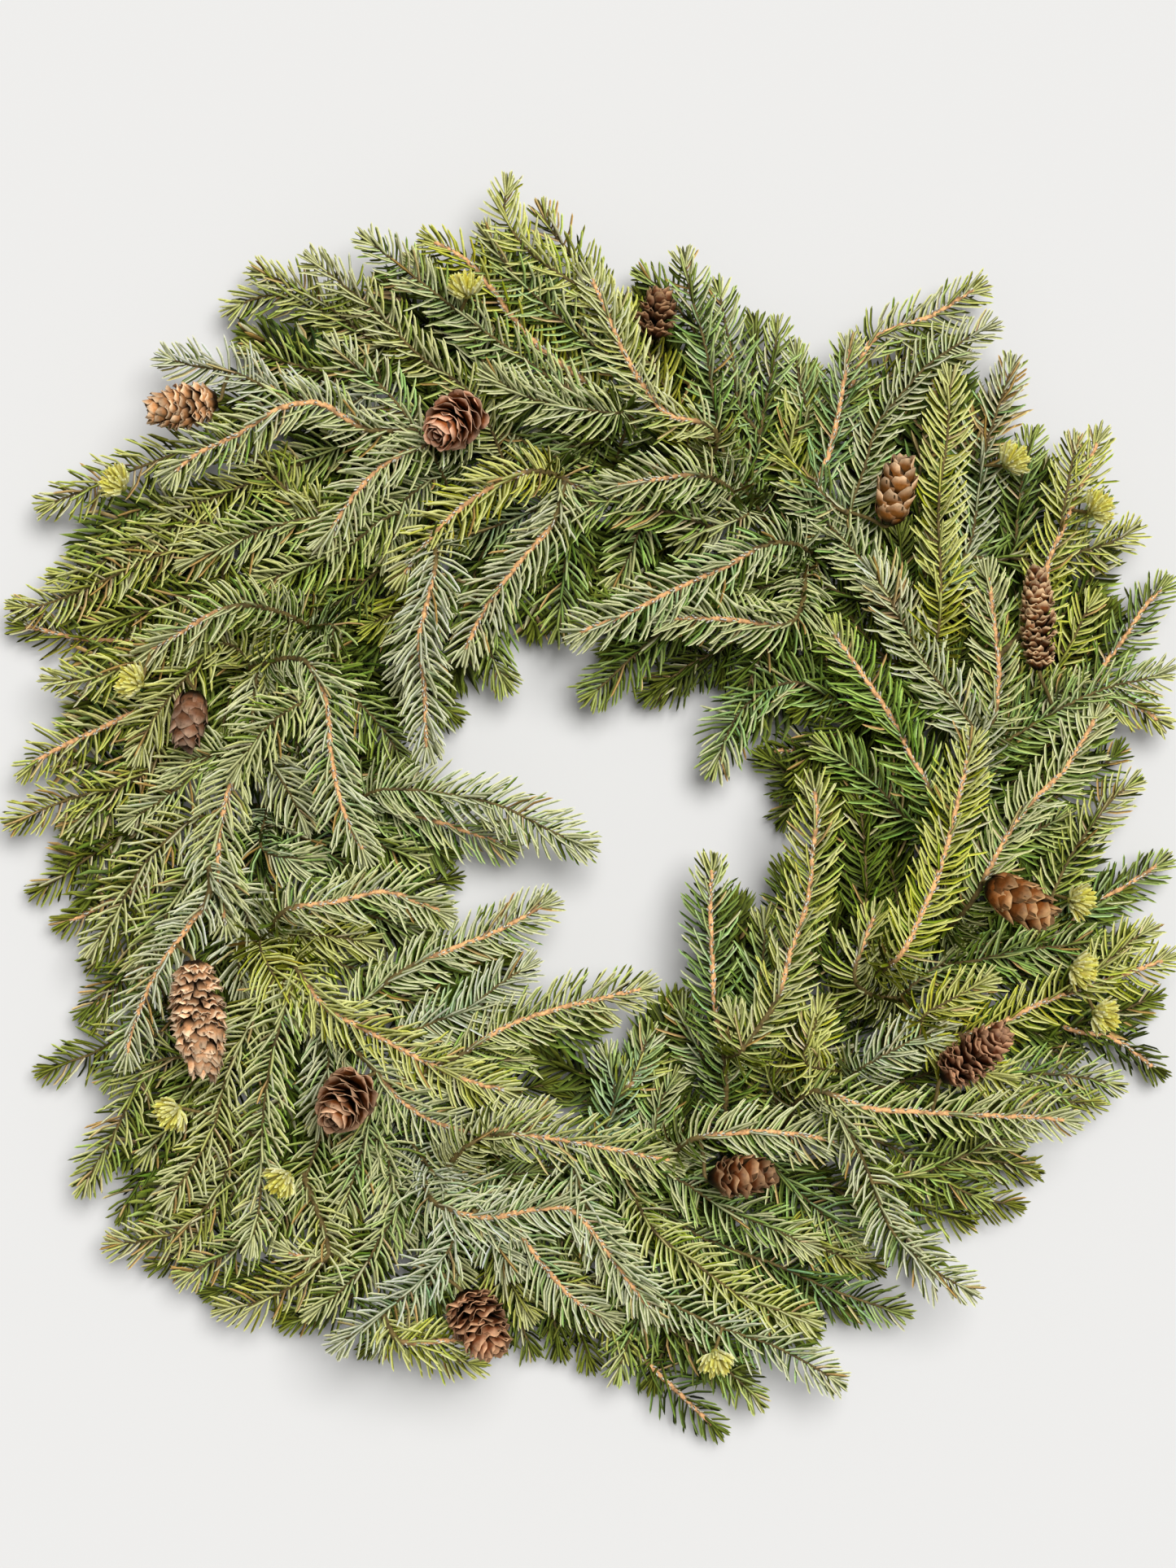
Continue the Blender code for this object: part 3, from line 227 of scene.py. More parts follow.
# Each branch: name, angle on the ring in degrees, then its sprays. A spray is its tint, its layer and
# the points that its stem passes through, from its start to its tip. The first spray is the leader.
BRANCHES = (
    ("branch_top_1", 62, (
        ("deep", 2, (74, 200), (70, 224), (65, 256), (57, 286), (52, 316)),
        ("deep", 1, (62, 262), (48, 282), (24, 305)),
        ("deep", 1, (95, 200), (98, 220), (104, 250), (107, 278)),
        ("pale", 0, (88, 215), (92, 240), (95, 262), (92, 283)))),
    ("branch_top_2", 74, (
        ("olive bark", 3, (65, 210), (43, 216), (32, 229), (17, 256), (7, 281), (-4, 303)),
        ("lime", 1, (48, 225), (38, 245), (28, 268), (16, 291)),
        ("olive", 1, (30, 250), (12, 278), (3, 292), (-9, 309), (-23, 328), (-28, 345)),
        ("lime", 2, (18, 262), (0, 285), (-18, 297), (-36, 312), (-46, 330), (-41, 356)))),
    ("branch_top_3", 88, (
        ("deep", 2, (20, 243), (1, 257), (-22, 277), (-45, 301), (-62, 328)),
        ("green", 2, (15, 214), (-6, 229), (-35, 248), (-64, 269), (-93, 292), (-130, 322)),
        ("green", 3, (15, 216), (-11, 220), (-29, 224), (-45, 232), (-60, 246)),
        ("lime bark", 1, (0, 235), (-24, 253), (-42, 273), (-53, 288), (-67, 304), (-98, 321)))),
    ("branch_top_4", 104, (
        ("olive", 2, (-68, 232), (-93, 250), (-115, 273), (-133, 288), (-161, 311)),
        ("green bark", 3, (-88, 199), (-105, 192), (-125, 175), (-143, 150), (-152, 138)),
        ("olive", 1, (-60, 255), (-75, 275), (-90, 296), (-102, 316)),
        ("olive", 1, (-118, 260), (-145, 280), (-170, 294), (-193, 304)),
        ("olive", 1, (-105, 252), (-150, 278), (-178, 287), (-208, 276)))),
    ("branch_top_5", 114, (
        ("green", 3, (-92, 205), (-115, 233), (-133, 247), (-148, 262)),
        ("green", 2, (-88, 180), (-101, 170), (-108, 150), (-118, 128)),
        ("deep", 0, (-130, 262), (-150, 275), (-167, 258)),
        ("pale", 2, (-135, 222), (-168, 228), (-198, 242), (-217, 245), (-244, 253)),
        ("green bark", 3, (-120, 207), (-150, 222), (-165, 220), (-192, 205), (-222, 190),
         (-236, 175)))),
    ("branch_inner_1", 68, (
        ("green bark", 3, (125, 162), (106, 172), (60, 182), (17, 178), (4, 178)),
        ("pale", 2, (112, 167), (87, 161), (61, 153), (42, 146)),
        ("green", 2, (40, 165), (9, 170), (-10, 163), (-32, 157)),
        ("deep", 0, (45, 148), (3, 142)))),
    ("branch_inner_2", 50, (
        ("green bark", 3, (95, 143), (75, 132), (48, 120), (22, 107), (-17, 92)),
        ("green bark", 3, (131, 98), (106, 100), (80, 103), (48, 104), (33, 102)),
        ("deep", 1, (45, 100), (35, 93), (12, 72), (-6, 56)),
        ("deep", 0, (62, 98), (57, 85), (49, 62)),
        ("deep", 0, (80, 100), (70, 64)))),
    ("branch_inner_3", 97, (
        ("green bark", 2, (-44, 224), (-32, 203), (-13, 182), (8, 170)),
        ("deep", 1, (-10, 165), (-13, 132), (-18, 88)),
        ("pale bark", 2, (-18, 160), (-37, 137), (-57, 110), (-73, 75)),
        ("deep", 1, (-45, 118), (-55, 95), (-41, 60)),
        ("lime bark", 3, (-32, 184), (-57, 173), (-82, 153), (-100, 130), (-108, 117)),
        ("blue", 1, (-25, 168), (-50, 158), (-80, 145)))),
    ("branch_inner_4", 123, (
        ("pale bark", 3, (-83, 135), (-88, 112), (-92, 95), (-90, 70), (-88, 20)),
        ("pale bark", 2, (-92, 100), (-98, 82), (-104, 57)),
        ("lime", 1, (-100, 116), (-133, 98)),
        ("deep", 0, (-88, 62), (-67, 45)))),
    ("branch_left_1", 133, (
        ("green", 2, (-150, 160), (-175, 155), (-200, 145), (-232, 133)),
        ("olive", 1, (-205, 203), (-245, 192), (-283, 177), (-313, 166)),
        ("olive", 0, (-245, 170), (-262, 162), (-279, 152)),
        ("lime", 2, (-148, 168), (-172, 164)),
        ("olive", 1, (-222, 160), (-245, 150), (-268, 139), (-288, 131), (-306, 127)),
        ("olive", 1, (-215, 150), (-242, 140), (-275, 125), (-308, 113), (-330, 112)),
        ("olive bark", 0, (-215, 100), (-253, 95), (-282, 95), (-315, 102), (-330, 106)))),
    ("branch_left_2", 147, (
        ("fir bark", 3, (-95, 145), (-128, 133), (-160, 125), (-195, 110), (-235, 90), (-252, 82)),
        ("lime", 2, (-215, 95), (-245, 83), (-270, 73), (-308, 71)),
        ("blue", 2, (-118, 115), (-140, 100), (-150, 78)),
        ("olive", 2, (-160, 112), (-168, 92), (-180, 59)))),
    ("branch_left_3", 157, (
        ("olive", 2, (-205, 90), (-218, 77), (-232, 60), (-242, 47), (-252, 20)),
        ("olive bark", 1, (-232, 63), (-253, 53), (-277, 42), (-307, 27), (-323, 15)),
        ("olive", 1, (-240, 28), (-262, 11), (-282, 7), (-312, -4), (-330, -13)),
        ("olive", 1, (-247, 38), (-258, 18), (-268, 6), (-282, -5), (-299, -15)),
        ("green bark", 3, (-150, 76), (-143, 60), (-140, 30), (-134, 0), (-125, -20), (-116, -34)),
        ("fir", 3, (-150, 62), (-170, 48), (-187, 28), (-198, 13)),
        ("pale", 2, (-183, 38), (-172, 20), (-160, -2), (-155, -19)),
        ("deep", 0, (-130, 80), (-112, 62), (-98, 42)))),
    ("branch_left_4", 169, (
        ("green bark", 3, (-190, 25), (-196, 10), (-202, -20), (-202, -45), (-196, -76)),
        ("green", 2, (-205, 30), (-225, 12), (-243, 0), (-263, -12)),
        ("olive", 0, (-243, -10), (-265, -18), (-281, -28), (-295, -38), (-318, -52)),
        ("green", 2, (-195, 45), (-215, 28), (-240, 16)))),
    ("branch_left_5", 176, (
        ("green bark", 1, (-115, 0), (-93, -5), (-68, -13), (-48, -20), (-34, -27)),
        ("green", 2, (-115, 10), (-80, 8), (-48, 1), (-20, -13), (9, -26)),
        ("green", 1, (-122, -16), (-86, -31)),
        ("green", 2, (-178, -24), (-143, -29)),
        ("deep", 0, (-125, 28), (-97, 31)),
        ("deep", 0, (-105, -42), (-68, -38)))),
    ("branch_left_6", 183, (
        ("olive", 2, (-215, -5), (-235, -20), (-250, -38), (-262, -60), (-281, -86)),
        ("olive bark", 0, (-240, -40), (-265, -51), (-290, -63), (-305, -68)),
        ("green", 2, (-213, -30), (-228, -50), (-240, -75), (-253, -101)),
        ("olive", 0, (-250, -50), (-268, -78), (-285, -94)),
        ("pale bark", 3, (-208, -50), (-217, -63), (-235, -88), (-245, -108), (-253, -133), (-252, -148)),
        ("olive", 0, (-255, -80), (-268, -108), (-281, -130)),
        ("olive", 0, (-238, -112), (-258, -126), (-278, -138), (-303, -148), (-312, -155)),
        ("pale", 2, (-188, -60), (-193, -83), (-189, -112)))),
    ("branch_left_7", 197, (
        ("lime", 3, (-182, -65), (-175, -85), (-167, -98), (-158, -110), (-147, -123)),
        ("green bark", 3, (-176, -32), (-173, -45), (-163, -55), (-138, -51), (-110, -46), (-90, -53),
         (-69, -62)),
        ("lime", 2, (-148, -70), (-111, -77)),
        ("olive", 1, (-248, -148), (-256, -165), (-266, -185), (-277, -203), (-287, -221)),
        ("olive", 2, (-200, -150), (-208, -180), (-220, -200), (-240, -228)))),
    ("branch_left_8", 204, (
        ("lime bark", 3, (-157, -90), (-145, -107), (-120, -122), (-93, -137), (-65, -150), (-33, -158)),
        ("green", 3, (-162, -100), (-170, -125), (-176, -155), (-179, -190), (-180, -215), (-188, -250)),
        ("pale", 2, (-148, -112), (-143, -135), (-146, -155), (-152, -186)),
        ("green bark", 2, (-95, -86), (-73, -77), (-48, -67), (-25, -54), (-13, -47)),
        ("blue", 2, (-90, -120), (-65, -110), (-52, -100), (-40, -92), (-24, -83)))),
    ("branch_bottom_1", 212, (
        ("deep", 0, (-212, -172), (-232, -188), (-252, -210), (-266, -238)),
        ("olive", 1, (-205, -212), (-215, -225), (-232, -238), (-252, -243), (-275, -244)),
        ("olive", 1, (-183, -190), (-193, -208), (-205, -225), (-235, -252)),
        ("green bark", 3, (-120, -140), (-105, -158), (-88, -171), (-70, -178), (-48, -182)),
        ("green", 2, (-118, -160), (-122, -180), (-130, -205), (-138, -236)),
        ("green bark", 2, (-68, -135), (-48, -122), (-20, -112), (10, -105), (43, -98)))),
    ("branch_bottom_2", 222, (
        ("green", 1, (-175, -232), (-200, -248), (-235, -267)),
        ("green", 0, (-140, -250), (-170, -262), (-211, -264)),
        ("olive bark", 2, (-125, -252), (-145, -249), (-177, -244)),
        ("green", 2, (-105, -222), (-114, -236), (-121, -250), (-133, -264), (-160, -286)),
        ("green", 2, (-112, -185), (-109, -205), (-108, -225), (-100, -250)))),
    ("branch_bottom_3", 232, (
        ("blue", 3, (-75, -240), (-93, -260), (-115, -279), (-146, -301)),
        ("lime", 1, (-108, -287), (-90, -300), (-75, -308), (-53, -314)),
        ("lime bark", 3, (-104, -290), (-82, -292), (-54, -290)),
        ("blue", 2, (-60, -215), (-52, -238), (-35, -263)))),
    ("branch_bottom_4", 240, (
        ("green bark", 3, (-80, -218), (-55, -224), (-30, -220), (-10, -220), (5, -236), (20, -257),
         (42, -286)),
        ("green bark", 2, (-50, -218), (-37, -236), (-22, -256), (-8, -272), (22, -289)),
        ("olive", 1, (-48, -252), (-28, -293)),
        ("deep", 0, (-25, -268), (-18, -304)),
        ("olive bark", 3, (-62, -182), (-54, -178), (-39, -173), (-15, -163)))),
    ("branch_bottom_5", 248, (
        ("green bark", 3, (-45, -178), (-22, -180), (5, -185), (32, -191), (58, -197)),
        ("green", 1, (-75, -198), (-52, -203), (-20, -202)),
        ("green", 2, (20, -255), (45, -273), (73, -287), (105, -299), (147, -324)),
        ("deep bark", 0, (8, -276), (22, -300), (38, -317), (55, -333), (80, -357)),
        ("deep", 1, (35, -283), (62, -302), (82, -318), (101, -339)))),
    ("branch_bottom_6", 258, (
        ("green", 1, (5, -198), (30, -217), (58, -237), (95, -256)),
        ("blue", 1, (15, -160), (7, -129)),
        ("olive bark", 1, (20, -158), (32, -146), (46, -134)),
        ("blue", 1, (24, -152), (38, -117)),
        ("lime", 2, (38, -235), (60, -252), (88, -272), (110, -280), (134, -288)),
        ("deep", 1, (85, -248), (105, -255), (138, -270), (160, -278), (185, -286)),
        ("green", 2, (50, -205), (73, -220), (100, -232), (132, -248)),
        ("olive", 1, (115, -238), (140, -250), (162, -257)))),
    ("branch_bottom_7", 280, (
        ("green bark", 3, (60, -180), (90, -177), (115, -179), (151, -187)),
        ("olive", 0, (165, -215), (195, -227), (223, -236)),
        ("deep", 0, (90, -215), (115, -210), (140, -205)),
        ("deep", 1, (160, -185), (180, -195), (205, -212), (229, -223)))),
    ("branch_right_1", 290, (
        ("deep bark", 2, (75, -135), (70, -107), (69, -81), (68, -50), (71, -21)),
        ("deep", 2, (90, -125), (95, -97), (98, -73), (97, -51)),
        ("lime", 3, (84, -132), (75, -103)),
        ("blue", 1, (62, -135), (47, -102)),
        ("olive bark", 3, (103, -105), (110, -82), (120, -52), (124, -20), (126, 0), (122, 23)))),
    ("branch_right_2", 300, (
        ("green bark", 3, (130, -155), (150, -163), (180, -166), (211, -168), (245, -170), (276, -173)),
        ("pale", 3, (118, -147), (130, -160), (143, -177), (155, -203), (167, -232), (185, -250),
         (219, -271)),
        ("olive", 1, (180, -205), (205, -196), (222, -189), (256, -177)),
        ("olive", 0, (190, -215), (220, -220), (250, -226)),
        ("pale", 0, (215, -200), (238, -200), (255, -205)))),
    ("branch_right_3", 312, (
        ("blue", 3, (132, -150), (156, -138), (178, -127), (207, -116)),
        ("lime", 3, (118, -135), (124, -120), (131, -100)),
        ("lime", 2, (215, -145), (242, -152)),
        ("green", 1, (230, -148), (272, -150), (305, -157)),
        ("olive", 1, (230, -156), (255, -162), (275, -165), (293, -167)))),
    ("branch_right_4", 322, (
        ("lime bark", 2, (205, -125), (225, -120), (250, -108), (280, -98), (310, -88), (332, -80)),
        ("lime", 3, (185, -112), (200, -104), (228, -90)),
        ("lime", 2, (270, -99), (295, -78), (320, -62)),
        ("deep bark", 0, (255, -118), (272, -125), (295, -130), (320, -148), (328, -156)),
        ("deep", 0, (275, -121), (300, -114), (328, -103)))),
    ("branch_right_5", 331, (
        ("olive bark", 3, (130, -115), (138, -103), (146, -88), (155, -65), (163, -50)),
        ("lime bark", 3, (158, -100), (170, -78), (180, -58), (190, -35), (197, -12), (202, 8),
         (207, 28), (211, 48)),
        ("pale", 1, (180, -100), (200, -85), (222, -72)))),
    ("branch_right_6", 341, (
        ("green bark", 3, (215, -42), (222, -28), (240, 0), (262, 22), (275, 42), (287, 62)),
        ("deep bark", 1, (240, -82), (262, -72), (280, -55), (300, -45), (332, -25)),
        ("olive", 1, (255, -60), (268, -30), (283, -8), (297, 8), (315, 18)),
        ("deep", 2, (155, -75), (154, -45), (153, -15), (148, 20)),
        ("green", 1, (232, -20), (252, -12), (275, 0)))),
    ("branch_right_7", 352, (
        ("fir bark", 3, (187, 10), (178, 27), (165, 52), (155, 67), (145, 82), (137, 94), (130, 108)),
        ("fir", 2, (175, -5), (160, 12), (140, 28), (122, 40)),
        ("deep", 1, (205, -15), (222, 12), (240, 38), (255, 62)),
        ("green", 0, (262, 5), (285, 20), (308, 38)))),
    ("branch_right_8", 2, (
        ("pale", 3, (210, 45), (197, 62), (183, 82), (172, 103), (162, 122), (150, 140)),
        ("green", 1, (135, 62), (118, 70), (100, 66), (84, 52), (74, 30), (68, 12)),
        ("deep bark", 0, (150, 22), (128, 30), (108, 32), (92, 25)),
        ("deep", 1, (172, -30), (174, -10), (175, 12)),
        ("deep bark", 1, (270, 52), (280, 65), (290, 82), (302, 98), (312, 113), (323, 125), (330, 133)),
        ("olive bark", 1, (280, 62), (303, 58), (330, 42)),
        ("green", 2, (292, 68), (310, 72), (328, 80)),
        ("deep", 2, (215, 25), (235, 45), (258, 62), (280, 75)))),
    ("branch_right_9", 18, (
        ("fir bark", 3, (215, 30), (222, 50), (225, 72), (224, 90), (222, 113), (219, 140)),
        ("lime", 1, (255, 70), (270, 92), (280, 112), (287, 125)),
        ("deep", 0, (268, 100), (280, 118), (292, 130)),
        ("lime bark", 2, (250, 112), (255, 137), (262, 153), (272, 175), (279, 193), (287, 216)),
        ("lime", 2, (262, 160), (267, 185), (273, 212)))),
    ("branch_right_10", 26, (
        ("lime", 3, (192, 100), (193, 130), (192, 155), (193, 175), (197, 200), (199, 225), (200, 247)),
        ("pale", 1, (214, 150), (218, 175), (222, 200), (229, 222), (236, 242), (242, 258)),
        ("deep", 1, (236, 140), (240, 165), (244, 190), (252, 218)),
        ("olive", 1, (262, 138), (275, 143), (292, 148), (304, 155), (312, 163)),
        ("blue", 0, (268, 150), (285, 168), (297, 180)))),
    ("branch_right_11", 34, (
        ("green", 3, (165, 120), (150, 138), (135, 155), (120, 172), (108, 190)),
        ("fir", 2, (200, 75), (195, 97), (193, 130), (188, 155)),
        ("olive", 1, (215, 100), (208, 118), (203, 135), (198, 152)),
        ("deep", 1, (145, 118), (125, 128), (105, 135)))),
    ("branch_right_12", 43, (
        ("pale", 2, (145, 165), (152, 185), (162, 215), (172, 227), (188, 245), (205, 257),
         (232, 273)),
        ("deep bark", 2, (128, 175), (134, 198), (139, 220), (143, 243), (148, 268)),
        ("olive bark", 1, (143, 225), (150, 243), (160, 262), (172, 268), (192, 275), (208, 285),
         (228, 297)),
        ("olive", 0, (165, 238), (180, 255), (200, 268)),
        ("lime", 1, (112, 200), (120, 225), (128, 252)),
        ("deep", 0, (175, 160), (180, 182), (184, 202)))),
)

# Short sprays that fill the body of the wreath under the others: tint, layer and points, start to tip
FILLS = (
    ("deep", 1, (178, 62), (152, 50), (128, 32), (114, 8)),
    ("green", 1, (165, 22), (145, 8), (122, -4)),
    ("deep", 0, (160, 48), (140, 20), (118, 2), (104, -14)),
    ("green", 2, (-108, 162), (-135, 143), (-165, 131), (-192, 124)),
    ("deep", 1, (-112, 134), (-140, 114), (-170, 106), (-198, 102)),
    ("deep", 1, (-122, 145), (-148, 124), (-164, 98)),
    ("deep", 0, (-20, -262), (-6, -290), (4, -322)),
    ("olive", 1, (2, -262), (14, -287), (26, -314)),
    ("deep", 0, (-42, -262), (-38, -288), (-28, -314)),
    ("green", 1, (92, -190), (115, -212), (136, -231), (160, -250)),
    ("deep", 0, (108, -203), (136, -214), (168, -226)),
    ("deep", 0, (100, -220), (126, -241), (152, -264)),
    ("olive", 1, (-128, -240), (-156, -262), (-186, -277), (-214, -283)),
    ("deep", 0, (-118, -256), (-148, -277), (-180, -288)),
    ("deep", 0, (62, -188), (52, -166), (50, -138)),
    ("green", 1, (34, -192), (40, -166), (56, -142)),
    ("deep", 0, (84, -182), (72, -160), (64, -136)),
    ("deep", 1, (-8, 170), (-22, 147), (-32, 118)),
    ("green", 1, (34, 167), (24, 142), (10, 116)),
    ("olive", 1, (-198, 130), (-228, 116), (-256, 107), (-286, 99)),
    ("deep", 0, (-192, 116), (-224, 106), (-256, 98)),
    ("green", 1, (-112, 207), (-140, 201), (-166, 189), (-192, 178)),
    ("green", 1, (-76, -150), (-50, -142), (-28, -136)),
    ("deep", 0, (-60, -166), (-34, -158), (-10, -154)),
    ("deep", 0, (80, 96), (57, 80), (34, 64)),
    ("deep", 1, (102, 96), (92, 74), (84, 48)),
    ("green", 1, (106, -166), (99, -140), (95, -112)),
    ("deep", 0, (122, -152), (114, -128), (110, -102)),
    ("deep", 1, (18, 206), (-10, 201), (-42, 197)),
    ("green", 1, (-48, 208), (-22, 196), (8, 200)),
    ("olive", 1, (-162, 191), (-190, 180), (-216, 170), (-244, 161)),
    ("green", 1, (130, -136), (138, -114), (150, -88)),
    ("deep", 0, (150, -132), (155, -106), (160, -78)),
    ("deep", 0, (-80, -232), (-86, -258), (-82, -288)),
    ("green", 1, (-92, -228), (-78, -250), (-66, -276)),
    ("green", 1, (86, 222), (81, 250), (76, 276), (72, 300)),
    ("green", 1, (212, -86), (240, -80), (268, -77), (296, -74)),
    ("deep", 0, (216, -97), (250, -93), (284, -90)),
    ("green", 1, (-147, 77), (-128, 59), (-110, 38), (-99, 12)),
    ("deep", 0, (-152, 46), (-130, 30), (-106, 17)),
    ("deep", 1, (-190, 86), (-200, 60), (-208, 32)),
    ("deep", 1, (176, -62), (170, -35), (166, -6)),
    ("deep", 1, (-118, 234), (-145, 242), (-172, 250), (-198, 257)),
    ("green", 1, (128, 136), (105, 125), (80, 118)),
    ("olive", 0, (202, -194), (230, -200), (260, -208)),
    ("green", 1, (-142, -54), (-115, -62), (-86, -71)),
    ("deep", 1, (141, -97), (136, -70), (134, -43)),
    ("deep", 1, (-167, -13), (-145, -25), (-123, -42)),
    ("deep", 1, (-232, -118), (-255, -138), (-274, -162)),
    ("green", 1, (-203, -133), (-222, -155), (-237, -180)),
    ("deep", 0, (-54, 152), (-65, 128), (-71, 102)),
    ("deep", 0, (-163, 236), (-190, 230), (-218, 228)),
    ("deep", 1, (158, -156), (185, -150), (212, -141)),
    ("deep", 0, (103, -261), (130, -275), (158, -289)),
    ("green", 1, (-152, -79), (-132, -90), (-106, -98)),
    ("blue", 1, (-88, -266), (-105, -288), (-124, -308)),
    ("olive", 1, (-213, -163), (-235, -180), (-254, -203)),
    ("deep", 0, (-198, -239), (-225, -250), (-252, -261)),
    ("deep", 1, (120, -77), (113, -50), (108, -23)),
    ("deep", 1, (166, 84), (152, 100), (137, 120)),
    ("deep", 1, (-32, -224), (-15, -240), (1, -260)),
    ("deep", 1, (-186, -18), (-178, -42), (-169, -65)),
    ("green", 1, (121, 213), (118, 240), (115, 266)),
    ("deep", 0, (214, 153), (225, 178), (236, 202)),
    ("deep", 1, (-166, 62), (-162, 38), (-160, 10)),
    ("deep", 0, (230, -131), (256, -136), (283, -141)),
    ("deep", 1, (-122, -94), (-100, -108), (-76, -119)),
    ("deep", 0, (-253, -83), (-270, -102), (-290, -122)),
    ("deep", 1, (-200, -58), (-208, -85), (-215, -112)),
    ("deep", 1, (176, 118), (175, 141), (172, 166)),
    ("deep", 1, (200, 63), (208, 85), (212, 108)),
    ("deep", 0, (145, 100), (130, 84), (112, 70)),
    ("deep", 1, (150, 78), (132, 62), (110, 50)),
    ("deep", 0, (132, 10), (110, 22), (92, 36)),
    ("deep", 0, (150, 30), (128, 20), (102, 4)),
    ("green", 1, (30, -280), (22, -300), (14, -326)),
    ("deep", 0, (48, -290), (40, -312), (34, -334)),
    ("deep", 0, (-10, 162), (-6, 138), (4, 112)),
    ("deep", 0, (-24, -272), (-18, -292), (-14, -316)),
    ("deep", 0, (130, -240), (148, -252), (172, -262)),
    ("deep", 0, (62, 80), (45, 70), (26, 58)),
    ("olive", 0, (-128, -270), (-152, -284), (-178, -292)),
    ("deep", 0, (-100, -275), (-114, -294), (-130, -312)),
    ("deep", 0, (18, -172), (0, -166), (-22, -158)),
    ("deep", 0, (200, -70), (222, -66), (246, -58)),
    ("deep", 0, (-172, -262), (-195, -270), (-222, -274)),
)

# Each cone: name, middle, height above the surface, way its tip points seen from above (degrees),
# its slope up at the tip (degrees), length and width.
CONES = (
    ("cone_1", (-222, 221), 62, 190, 10, 38, 27),
    ("cone_2", (-72, 211), 84, 225, 42, 34, 31),
    ("cone_3", (38, 273), 46, 80, 5, 28, 25),
    ("cone_4", (168, 172), 74, 80, 28, 38, 30),
    ("cone_5", (246, 104), 68, 92, 3, 58, 25),
    ("cone_6", (-218, 50), 68, 262, 12, 30, 25),
    ("cone_7", (232, -49), 84, 330, 22, 38, 29),
    ("cone_8", (-211, -114), 86, 277, 4, 64, 31),
    ("cone_9", (-131, -158), 86, 235, 45, 34, 31),
    ("cone_10", (210, -134), 84, 38, 6, 45, 27),
    ("cone_11", (82, -200), 82, 5, 12, 34, 27),
    ("cone_12", (-60, -280), 58, 300, 20, 38, 33),
)

# Each bud: name, middle and height above the surface
BUDS = (
    ("bud_1", (-66, 282), 64),
    ("bud_2", (-258, 178), 43),
    ("bud_3", (-245, 68), 70),
    ("bud_4", (232, 190), 47),
    ("bud_5", (277, 163), 62),
    ("bud_6", (268, -51), 47),
    ("bud_7", (267, -88), 62),
    ("bud_8", (280, -113), 57),
    ("bud_9", (70, -300), 59),
    ("bud_10", (-225, -165), 64),
    ("bud_11", (-164, -200), 76),
)


def unit(vector):
    """The vector at length 1."""
    return vector / np.linalg.norm(vector)


def units(vectors):
    """Each of the vectors at length 1."""
    return vectors / np.linalg.norm(vectors, axis=1)[:, None]


def segment_gaps(start, end, starts, ends, radii, reach):
    """Least room between one tapered rod and each of many, all given by their ends and radii."""
    along = end - start
    others = ends - starts
    offset = start - starts
    a = along @ along
    e = np.einsum("ij,ij->i", others, others)
    f = np.einsum("ij,ij->i", others, offset)
    c = offset @ along
    b = others @ along
    spread = a * e - b * b
    s = np.where(spread > 1e-9, np.clip((b * f - c * e) / np.where(spread > 1e-9, spread, 1), 0, 1), 0)
    t = np.clip((b * s + f) / e, 0, 1)
    s = np.clip((b * t - c) / a, 0, 1)
    near = start + s[:, None] * along
    far = starts + t[:, None] * others
    thick = reach[0] + (reach[1] - reach[0]) * s
    other_thick = radii[:, 0] + (radii[:, 1] - radii[:, 0]) * t
    return np.linalg.norm(near - far, axis=1) - thick - other_thick


class Space:
    """What has been placed so far, as tapered rods."""

    def __init__(self):
        self.starts = np.zeros((ROD_LIMIT, 3))
        self.ends = np.zeros((ROD_LIMIT, 3))
        self.radii = np.zeros((ROD_LIMIT, 2))
        self.owners = np.zeros(ROD_LIMIT, int)
        self.count = 0
        self.cores = 0

    def add(self, start, end, radii, owner):
        """Note one more rod, with the number of the branch that it belongs to."""
        self.starts[self.count] = start
        self.ends[self.count] = end
        self.radii[self.count] = radii
        self.owners[self.count] = owner
        self.count += 1

    def room(self, start, end, radii, skipped=()):
        """Room round a rod, leaving out the numbered rods that are skipped."""
        count = self.count
        starts = self.starts[:count]
        ends = self.ends[:count]
        middles = (starts + ends) / 2
        halves = np.linalg.norm(ends - starts, axis=1) / 2 + self.radii[:count].max(axis=1)
        reach = np.linalg.norm(end - start) / 2 + max(radii) + ROOM_ENOUGH
        close = np.linalg.norm(middles - (start + end) / 2, axis=1) < halves + reach
        close[list(skipped)] = False
        if not close.any():
            return ROOM_ENOUGH
        return segment_gaps(start, end, starts[close], ends[close], self.radii[:count][close], radii).min()

    def near_fork(self, owner, fork):
        """Numbers of the owner's rods that lie round its fork."""
        count = self.count
        near = np.minimum(np.linalg.norm(self.starts[:count] - fork, axis=1),
                          np.linalg.norm(self.ends[:count] - fork, axis=1)) < LIFT_REACH
        return np.flatnonzero((self.owners[:count] == owner) & near)


def distances(line):
    """How far along the line each of its points is."""
    return np.concatenate([[0], np.cumsum(np.linalg.norm(np.diff(line, axis=0), axis=1))])


def smooth_line(points, step):
    """Points about a step apart on the smooth curve through the given points."""
    points = np.array(points, float)
    knots = distances(points)
    slopes = np.gradient(points, knots, axis=0)
    count = max(2, round(knots[-1] / step))
    where = np.linspace(0, knots[-1], count + 1)
    index = np.clip(np.searchsorted(knots, where, side="right") - 1, 0, len(points) - 2)
    width = (knots[index + 1] - knots[index])[:, None]
    u = (where - knots[index])[:, None] / width
    return ((2 * u**3 - 3 * u**2 + 1) * points[index] + (u**3 - 2 * u**2 + u) * width * slopes[index]
            + (3 * u**2 - 2 * u**3) * points[index + 1] + (u**3 - u**2) * width * slopes[index + 1])


def shortened(line, cut):
    """The line without its last stretch, which is as long as the cut."""
    along = distances(line)
    return line[along < along[-1] - cut]


